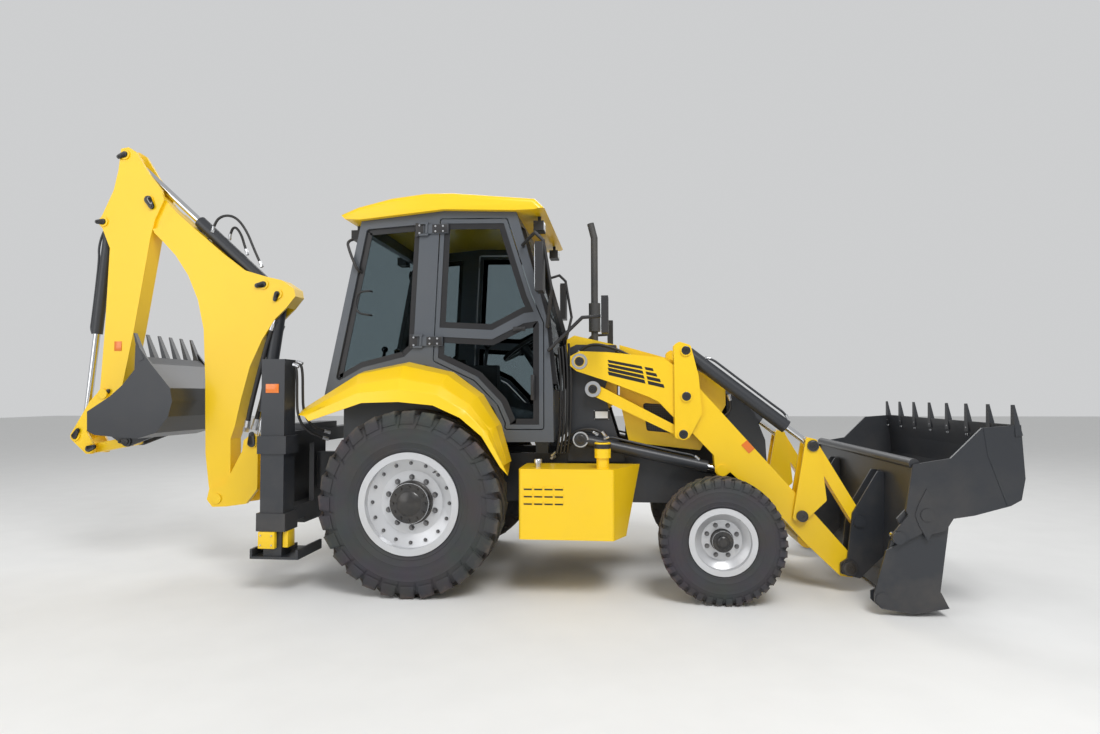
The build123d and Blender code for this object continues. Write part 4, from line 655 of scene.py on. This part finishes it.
MIRRORED_RUNS = {
    # name: body, width, the places with Y counted outwards
    "lift_pipe": ("lift_barrels", 18, along(*LIFT,
        (175, 40), (215, 68), (300, 66), (560, 62), (800, 62), (870, 64), (915, 40), y=545)),
    "lift_feed": ("lift_barrels", 20, [
        (985, 500, 985), (1060, 520, 1060), (1130, 535, 1150), (1215, 545, 1198), (1320, 548, 1200),
        (1392, 545, 1165), (1410, 545, 1140)]),
    "lift_feed_low": ("lift_barrels", 20, [
        (975, 470, 960), (1070, 480, 1020), (1150, 495, 1105), (1225, 505, 1178), (1300, 510, 1180),
        (1350, 512, 1150)]),
    "tilt_pipe": ("tilt_barrels", 18, along(*TILT,
        (150, 48), (190, 74), (300, 74), (560, 72), (790, 72), (880, 74), (925, 50), y=545)),
    "tilt_loop": ("tilt_barrels", 20, along(*TILT,
        (470, -60), (540, -110), (560, -190), (500, -270), (390, -300), (270, -270), (180, -200),
        (120, -150), y=452)),
    "arm_hose": ("loader_arms", 22, [
        (1175, 470, 1770), (1225, 470, 1835), (1320, 470, 1868), (1440, 470, 1845), (1560, 470, 1795),
        (1640, 470, 1745)]),
    "arm_hose_inner": ("loader_arms", 22, [
        (1160, 438, 1745), (1210, 438, 1815), (1310, 438, 1850), (1430, 438, 1830), (1550, 438, 1775),
        (1640, 438, 1715)]),
    "leg_hose": ("chassis", 20, [
        (-915, 925, 1722), (-885, 925, 1712), (-868, 925, 1640), (-866, 925, 1500), (-864, 920, 1360),
        (-835, 900, 1270), (-780, 860, 1205), (-700, 800, 1180)]),
    "leg_hose_outer": ("chassis", 20, [
        (-915, 985, 1700), (-892, 985, 1690), (-882, 985, 1600), (-882, 985, 1450), (-880, 978, 1330),
        (-850, 955, 1235), (-790, 900, 1165), (-700, 830, 1130)]),
}
for name, side in SIDES:
    for title, (body, width, outer) in MIRRORED_RUNS.items():
        places = mirrored(outer, side)
        steel = title.endswith("pipe")
        pipe(f"{title}_{name}", body, width, places, charcoal if steel else hose_rubber)
        crimps(f"{title}_{name}_crimps", body, width, places)
    for number in range(4):
        x = 1062 + 26 * number
        pipe(f"riser_{number}_{name}", "chassis", 20,
             mirrored([(x - 30, 560 - 12 * number, 1010), (x - 10, 560, 1130),
                       (x, 585 - 8 * number, 1300), (x + 4, 590 - 8 * number, 1500),
                       (x + 2, 585 - 8 * number, 1700), (x - 14, 560, 1830 + 12 * number)], side),
             hose_rubber)
hoe_ram = ((-2982, 2994), (-3185, 1119))
pipe("hoe_ram_pipe", "hoe_ram_barrel", 20,
     along(*hoe_ram, (60, -48), (110, -70), (230, -84), (320, -66), (600, -62), (880, -62),
           (950, -64), (985, -42), y=HOE_Y), charcoal)
dipper_ram = ((-1490, 2412), (-2790, 3584))
pipe("dipper_ram_pipe", "dipper_barrel", 18,
     along(*dipper_ram, (110, 44), (160, 66), (400, 66), (650, 66), (780, 62), (830, 44), y=HOE_Y - 20),
     charcoal)

# ---------------------------------------------------------------- stripes and reflectors
# Four black film stripes on each loader arm, cut by a slanting gap, and moulded orange
# reflectors bonded to the arms, the stabilizer legs and the dipper.
ARM_FACE, LEG_FACE, DIPPER_HALF = 575, 1050, 78


def plate(outline, y0, y1):
    """A flat plate: its outline in millimetres ahead of the rear axle and up, from y0 to y1."""
    shape = bmesh.new()
    near, far = ([shape.verts.new(spot(x, y, z)) for x, z in outline] for y in (y0, y1))
    shape.faces.new(near)
    shape.faces.new(far)
    for number in range(len(near)):
        shape.faces.new((near[number - 1], near[number], far[number], far[number - 1]))
    bmesh.ops.recalc_face_normals(shape, faces=shape.faces)
    return shape


def block(x0, x1, y0, y1, z0, z1, soft=0.0):
    """A block in millimetres with its edges rounded off."""
    shape = plate([(x0, z0), (x1, z0), (x1, z1), (x0, z1)], y0, y1)
    if soft:
        bmesh.ops.bevel(shape, geom=shape.edges[:], offset=soft * MM, affect="EDGES", segments=2,
                        profile=0.5, material=-1)
    return shape


def bolts(size, height, places, side):
    """Hex bolts whose heads point outwards from one side of the machine."""
    return repeated(hex_bolt(size, height),
                    [outward(x, side * y, z, side) @ facing(0, 0, 0, 1) for x, y, z in places])


# Black film for the arm stripes and the glasses' printed borders, also used as painted shade under the
# tank's louvres.
black_film_and_painted_shade = finish_of("black_film_and_painted_shade", (0.010, 0.010, 0.012), 0.35, dust_amount=0.1)
reflector = finish_of("reflector_orange", (0.80, 0.19, 0.015), 0.22, coat=0.6, dust_amount=0.1)
for name, side in SIDES:
    bands = []
    for row in range(4):
        start, slope, thick = 1735 - 30 * row, -0.20 - 0.0133 * row, 23 + 2 * row
        for x0, x1 in ((1430, 1690 + 7 * row), (1712 + 7 * row, 1774 + 27 * row)):
            z0, z1 = (start + slope * (x - 1430) for x in (x0, x1))
            bands.append(plate([(x0, z0), (x1, z1), (x1 + 8, z1 - thick), (x0 + 8, z0 - thick)],
                               ARM_FACE, ARM_FACE + 0.8))
    fitted(merged(*bands), f"arm_stripes_{name}", black_film_and_painted_shade, "loader_arms",
           side=side)
    ahead, down = 0.664, -0.748
    corners = [(2478 + ahead * a + down * b, 1070 + down * a - ahead * b)
               for a, b in ((-42, -28), (42, -28), (42, 28), (-42, 28))]
    fitted(plate(corners, ARM_FACE, ARM_FACE + 4), f"arm_reflector_{name}", reflector, "loader_arms",
           side=side)
    fitted(block(-1092, -990, LEG_FACE - 1, LEG_FACE + 5, 1485, 1552, 2), f"leg_reflector_{name}",
           reflector, "chassis", side=side)
    fitted(block(-2855, -2787, HOE_Y + side * (DIPPER_HALF - 1), HOE_Y + side * (DIPPER_HALF + 5),
                 1857, 1940, 2),
           f"dipper_reflector_{name}", reflector, "dipper")

# ---------------------------------------------------------------- wear blocks of the legs
# Yellow guide blocks under each leg housing, on the outer and front faces of the sliding
# leg. Four screws hold the outer one.
for name, side in SIDES:
    fitted(merged(block(-1128, -1000, 1033, 1074, 342, 464, 4),
                  block(-964, -922, 912, 1020, 342, 464, 4)),
           f"leg_wear_blocks_{name}", yellow, "chassis", side=side)
    fitted(bolts(0.009, 0.007, [(x, 1074, z) for x in (-1108, -1022) for z in (368, 438)], side),
           f"leg_wear_block_screws_{name}", bright_zinc, "chassis")

# ---------------------------------------------------------------- side tanks' fittings
# A black dome over each tank's filler neck, a small bright cap on the tank's top, and the
# pressed louvres of the outer panel, with a black strip under each hood as painted shade.
TANK_FACE = 1030
TURNED_UP = Matrix.Rotation(math.pi / 2, 4, "X")
for name, side in SIDES:
    dome = turned([(0.0001, 0.046), (0.030, 0.045), (0.050, 0.040), (0.060, 0.030), (0.061, 0.0),
                   (0.0001, 0.0)], 48)
    fitted(repeated(dome, [Matrix.Translation(spot(1400, side * 930, 1080)) @ TURNED_UP]),
           f"filler_dome_{name}", black_plastic, "chassis")
    small = turned([(0.0001, 0.060), (0.026, 0.060), (0.030, 0.054), (0.030, 0.030), (0.022, 0.028),
                    (0.022, -0.002), (0.0001, -0.002)], 40)
    fitted(repeated(small, [Matrix.Translation(spot(928, side * 900, 938)) @ TURNED_UP]),
           f"tank_cap_{name}", bright_zinc, "chassis")
    places = [(840 + 74 * column, 676 + 52 * row) for row in range(3) for column in range(4)]
    # A black strip under each louvre hood: painted shade, not an opening.
    fitted(merged(*[block(x + 2, x + 60, TANK_FACE - 1, TANK_FACE + 0.8, z + 9, z + 22)
                     for x, z in places]),
           f"louvre_painted_shade_{name}", black_film_and_painted_shade, "chassis", side=side)
    fitted(merged(*[block(x - 2, x + 64, TANK_FACE - 3, TANK_FACE + 8, z + 20, z + 38, 4)
                     for x, z in places]),
           f"louvre_hoods_{name}", yellow, "chassis", side=side)

# ---------------------------------------------------------------- cab fittings
# Bright hinge bolts, the black door latch and rail catch, the quarter window's loop, the
# rear grab handle, mirror glasses, lamp lenses and the glasses' black printed borders.
mirror_glass = finish_of("mirror_glass", (0.75, 0.78, 0.80), 0.04, metal=1.0, dust_amount=0.05,
                         depth=0.0)
lens = finish_of("lamp_lens", (0.70, 0.73, 0.76), 0.15, coat=0.8, dust_amount=0.05, depth=0.0)
BORDER = 0.045
DOOR_HINGES = ((45, 2750), (2, 1880))


def copy_of(node_name):
    """A CAD node's mesh in the frame, its seams merged and its flat faces made whole."""
    shape = bmesh.new()
    shape.from_mesh(frame["nodes"][node_name].data)
    bmesh.ops.transform(shape, matrix=frame["nodes"][node_name].matrix_world, verts=shape.verts)
    bmesh.ops.remove_doubles(shape, verts=shape.verts, dist=1e-5)
    bmesh.ops.dissolve_limit(shape, angle_limit=0.01, verts=shape.verts, edges=shape.edges)
    return shape


for name, side in SIDES:
    fitted(merged(*[block(x + 44, x + 168, 756, 765, z - 34, z + 34, 2) for x, z in DOOR_HINGES]),
           f"door_hinge_leaves_{name}", black_plastic, f"door_{name}", side=side)
    fitted(merged(*[block(x - 90, x - 26, 750, 760, z - 50, z + 50, 2) for x, z in DOOR_HINGES]),
           f"post_hinge_leaves_{name}", black_plastic, "chassis", side=side)
    fitted(bolts(0.011, 0.007, [(x + dx, 765, z + dz) for x, z in DOOR_HINGES for dx in (70, 130)
                                for dz in (-20, 20)], side),
           f"door_hinge_bolts_{name}", bright_zinc, f"door_{name}")
    fitted(bolts(0.011, 0.007, [(x - 58, 760, z + dz) for x, z in DOOR_HINGES for dz in (-30, 30)], side),
           f"post_hinge_bolts_{name}", bright_zinc, "chassis")
    fitted(merged(block(856, 886, 744, 772, 1425, 1617, 7), block(864, 878, 770, 790, 1470, 1572, 5),
                  block(720, 815, 744, 762, 1950, 1982, 5), block(742, 790, 760, 776, 1958, 1974, 4)),
           f"door_latch_{name}", black_plastic, f"door_{name}", side=side)
    pipe(f"quarter_loop_{name}", "chassis", 16,
         mirrored([(-405, 728, 2090), (-405, 768, 2090), (-500, 772, 2100), (-520, 772, 2180),
                   (-500, 772, 2268), (-405, 768, 2278), (-405, 728, 2278)], side),
         black_plastic)
    pipe(f"rear_grab_{name}", "chassis", 22,
         mirrored([(-490, 735, 2430), (-500, 775, 2436), (-530, 782, 2500), (-570, 782, 2600),
                   (-590, 775, 2670), (-560, 735, 2690)], side),
         black_plastic)
    fitted(merged(block(921, 926, 882, 1028, 2228, 2557, 2), block(1391, 1396, 790, 920, 1926, 2174, 2)),
           f"mirror_glass_{name}", mirror_glass, "chassis", side=side)
    fitted(merged(block(938, 944, 498, 622, 2757, 2816, 2), block(-619, -613, 498, 622, 2724, 2783, 2)),
           f"work_lamp_lens_{name}", lens, "chassis", side=side)
    for node_name, body in ((f"door_glass_{name}", f"door_{name}"), ("cab_glass", "chassis")):
        border = copy_of(node_name)
        panes = [f for f in border.faces if f.normal.y * side > 0.9]
        bmesh.ops.delete(border, geom=[f for f in border.faces if f not in panes], context="FACES")
        rim = bmesh.ops.inset_individual(border, faces=border.faces[:], thickness=BORDER,
                                         use_even_offset=True)["faces"]
        bmesh.ops.delete(border, geom=[f for f in border.faces if f not in rim], context="FACES")
        grown = bmesh.ops.extrude_face_region(border, geom=border.faces[:])["geom"]
        bmesh.ops.translate(border, vec=(0, side * 0.0012, 0),
                            verts=[v for v in grown if isinstance(v, bmesh.types.BMVert)])
        bmesh.ops.recalc_face_normals(border, faces=border.faces)
        fitted(border, f"{node_name}_border_{name}" if body == "chassis" else f"{node_name}_border",
               black_film_and_painted_shade, body)

# ---------------------------------------------------------------- cab roof
# A one-piece moulded roof with rounded edges and corners, in yellow, on the cab's frame.
roof = copy_of("cab_roof")
corners = [e for e in roof.edges if e.calc_face_angle(0) > 0.12 and e.calc_length() > 0.01]
bmesh.ops.bevel(roof, geom=corners, offset=0.022, affect="EDGES", segments=3, profile=0.5,
                material=-1, clamp_overlap=True)
moulded_roof = fitted(roof, "moulded_roof", yellow, "chassis", sharp=0.9)
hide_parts("cab_roof")

# ---------------------------------------------------------------- rear fenders
# Pressed steel fenders, rolled smooth over the rear wheels, with a folded lip.
rolled = copy_of("fenders")
bends = [e for e in rolled.edges if 0.06 < e.calc_face_angle(0) < 0.6 and e.calc_length() > 0.1]
bmesh.ops.bevel(rolled, geom=bends, offset=0.09, affect="EDGES", segments=5, profile=0.5,
                material=-1, clamp_overlap=True)
fenders = fitted(rolled, "rolled_fenders", yellow, "chassis", sharp=0.7)
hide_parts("fenders")

# ---------------------------------------------------------------- driver's seat
# A sprung seat: a cushion and a back of foam in black cloth with sewn channels, on a
# moulded base with a bellows, with two plastic armrests on posts.
def stuffed(shape, name, cap, seams):
    """A closed shape blown up as foam in its cover, no point further than the cap, then sewn."""
    mesh = bpy.data.meshes.new(name)
    shape.to_mesh(mesh)
    shape.free()
    pad = bpy.data.objects.new(name, mesh)
    scene.collection.objects.link(pad)

    def applied():
        made = bpy.data.meshes.new_from_object(
            pad.evaluated_get(bpy.context.evaluated_depsgraph_get()))
        pad.modifiers.clear()
        pad.data = made

    remesh = pad.modifiers.new("remesh", "REMESH")
    remesh.mode = "VOXEL"
    remesh.voxel_size = 0.007
    applied()
    rest = [vert.co.copy() for vert in pad.data.vertices]
    blown = pad.modifiers.new("blown", "CLOTH")
    blown.settings.use_pressure = True
    blown.settings.uniform_pressure_force = 4.0
    blown.settings.effector_weights.gravity = 0.0
    for step in range(1, 21):
        scene.frame_set(step)
    applied()
    scene.frame_set(1)
    for vert, start in zip(pad.data.vertices, rest):
        move = vert.co - start
        vert.co = start + move * min(1.0, cap / max(move.length, 1e-9))
    smooth = pad.modifiers.new("smooth", "SUBSURF")
    smooth.levels = smooth.render_levels = 1
    applied()
    normals = [vert.normal.copy() for vert in pad.data.vertices]
    for vert, normal in zip(pad.data.vertices, normals):
        sunk = sum(depth * math.exp(-((vert.co[axis] - place) / 0.007) ** 2)
                   for axis, place, depth in seams)
        vert.co -= normal * sunk
    pad.data.shade_smooth()
    pad.data.materials.clear()
    pad.data.materials.append(cloth)
    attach(pad, "chassis")
    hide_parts("seat")
    return pad


seat_y = [(1, 0.115 * way, 0.010) for way in (-1, 1)]
stuffed(block(-172, 292, -234, 234, 1452, 1538, 24), "seat_cushion", 0.024,
        seat_y + [(0, spot(40, 0, 0).x, 0.005), (0, spot(160, 0, 0).x, 0.005)])
back = plate([(-188, 1552), (-112, 1552), (-184, 2132), (-232, 2132)], -216, 216)
bmesh.ops.bevel(back, geom=back.edges[:], offset=0.022, affect="EDGES", segments=2, profile=0.5,
                material=-1)
stuffed(back, "seat_back", 0.024,
        seat_y + [(2, spot(0, 0, 1720).z, 0.005), (2, spot(0, 0, 1880).z, 0.005)])
bellows = [block(-120 - grow, 260 + grow, -170 - grow, 170 + grow, z, z + 30, 9)
           for grow, z in ((0, 1236), (14, 1264), (0, 1292), (14, 1320), (0, 1348))]
base = fitted(merged(block(-128, 268, -178, 178, 1151, 1240, 10), *bellows,
                     block(-165, 290, -215, 215, 1376, 1458, 14),
                     *[block(-178, -142, way * 225, way * 296, 1500, 1752, 8) for way in (-1, 1)],
                     *[block(-178, 118, way * 252, way * 298, 1742, 1788, 14) for way in (-1, 1)]),
              "seat_base", black_plastic, "chassis")
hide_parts("seat")

# ---------------------------------------------------------------- hood grilles and blank plate
# Punched steel grilles behind the openings in the hood's sides, their holes painted near-black
# as painted shade on a flat plate, and a blank riveted rating plate on each side of the loader tower.
TOWER_FACE = 470
punched, tree, shader = new_material("punched_steel")
# The holes are a pattern painted near-black: painted shade of the dark behind them, with no openings.
cells = node(tree, "ShaderNodeTexVoronoi", Scale=70.0, Randomness=0.0)
painted_hole_shade = node(tree, "ShaderNodeMapRange")
painted_hole_shade.inputs["From Min"].default_value = 0.36
painted_hole_shade.inputs["From Max"].default_value = 0.42
shade = node(tree, "ShaderNodeMixRGB", Color1=(0.004, 0.004, 0.004, 1.0),
             Color2=(0.055, 0.060, 0.066, 1.0))
tree.links.new(node(tree, "ShaderNodeTexCoord").outputs["Object"], cells.inputs["Vector"])
tree.links.new(cells.outputs["Distance"], painted_hole_shade.inputs["Value"])
tree.links.new(painted_hole_shade.outputs["Result"], shade.inputs["Fac"])
tree.links.new(shade.outputs["Color"], shader.inputs["Base Color"])
shader.inputs["Roughness"].default_value = 0.55
plate_white = finish_of("plate_white", (0.70, 0.70, 0.68), 0.4, dust_amount=0.1)
for name, side in SIDES:
    fitted(block(1690, 2110, 393, 397, 1140, 1410), f"hood_grille_{name}", punched, "hood",
           side=side)
    fitted(block(1313, 1441, TOWER_FACE - 1, TOWER_FACE + 3, 1266, 1347, 1),
           f"blank_plate_{name}", black_plastic, "chassis", side=side)
    fitted(block(1328, 1426, TOWER_FACE + 2, TOWER_FACE + 4, 1280, 1333),
           f"blank_plate_face_{name}", plate_white, "chassis", side=side)
    fitted(bolts(0.004, 0.003, [(x, TOWER_FACE + 3, z) for x in (1320, 1434)
                                 for z in (1273, 1340)], side),
           f"blank_plate_rivets_{name}", bright_zinc, "chassis")

# ---------------------------------------------------------------- loader bucket's hardware
# A diamond flange with its nut over each jaw pivot, a doubler plate on the jaw's cheeks,
# and two bright bolts through every tooth shank.
JAW_FACE = 1120
JAW_PIVOT = (3525, 672)
for name, side in SIDES:
    diamond = [(JAW_PIVOT[0] + x, JAW_PIVOT[1] + z) for x, z in (
        (0, -170), (52, -70), (75, 0), (52, 70), (0, 170), (-52, 70), (-75, 0), (-52, -70))]
    fitted(plate(diamond, JAW_FACE - 1, JAW_FACE + 6), f"jaw_pivot_flange_{name}", charcoal, "bucket_jaw",
           side=side)
    fitted(bolts(0.044, 0.0048, [(JAW_PIVOT[0], JAW_FACE + 6, JAW_PIVOT[1])], side),
           f"jaw_pivot_nut_{name}", pin_steel, "bucket_jaw")
    cheek = [(3885, 1243), (4112, 1255), (4128, 920), (4100, 790), (4045, 742), (4020, 735),
             (3907, 1069)]
    fitted(plate(cheek, JAW_FACE - 1, JAW_FACE + 3), f"jaw_cheek_{name}", charcoal, "bucket_jaw",
           side=side)
rows = [(4088, -1090 + 2180 * number / 7, z) for number in range(8) for z in (1215, 1165)]
heads = repeated(hex_bolt(0.013, 0.010),
                 [Matrix.Translation(spot(*place)) @ Matrix.Rotation(-math.pi / 2, 4, "Y")
                  for place in rows])
fitted(heads, "tooth_bolts", bright_zinc, "bucket_jaw")
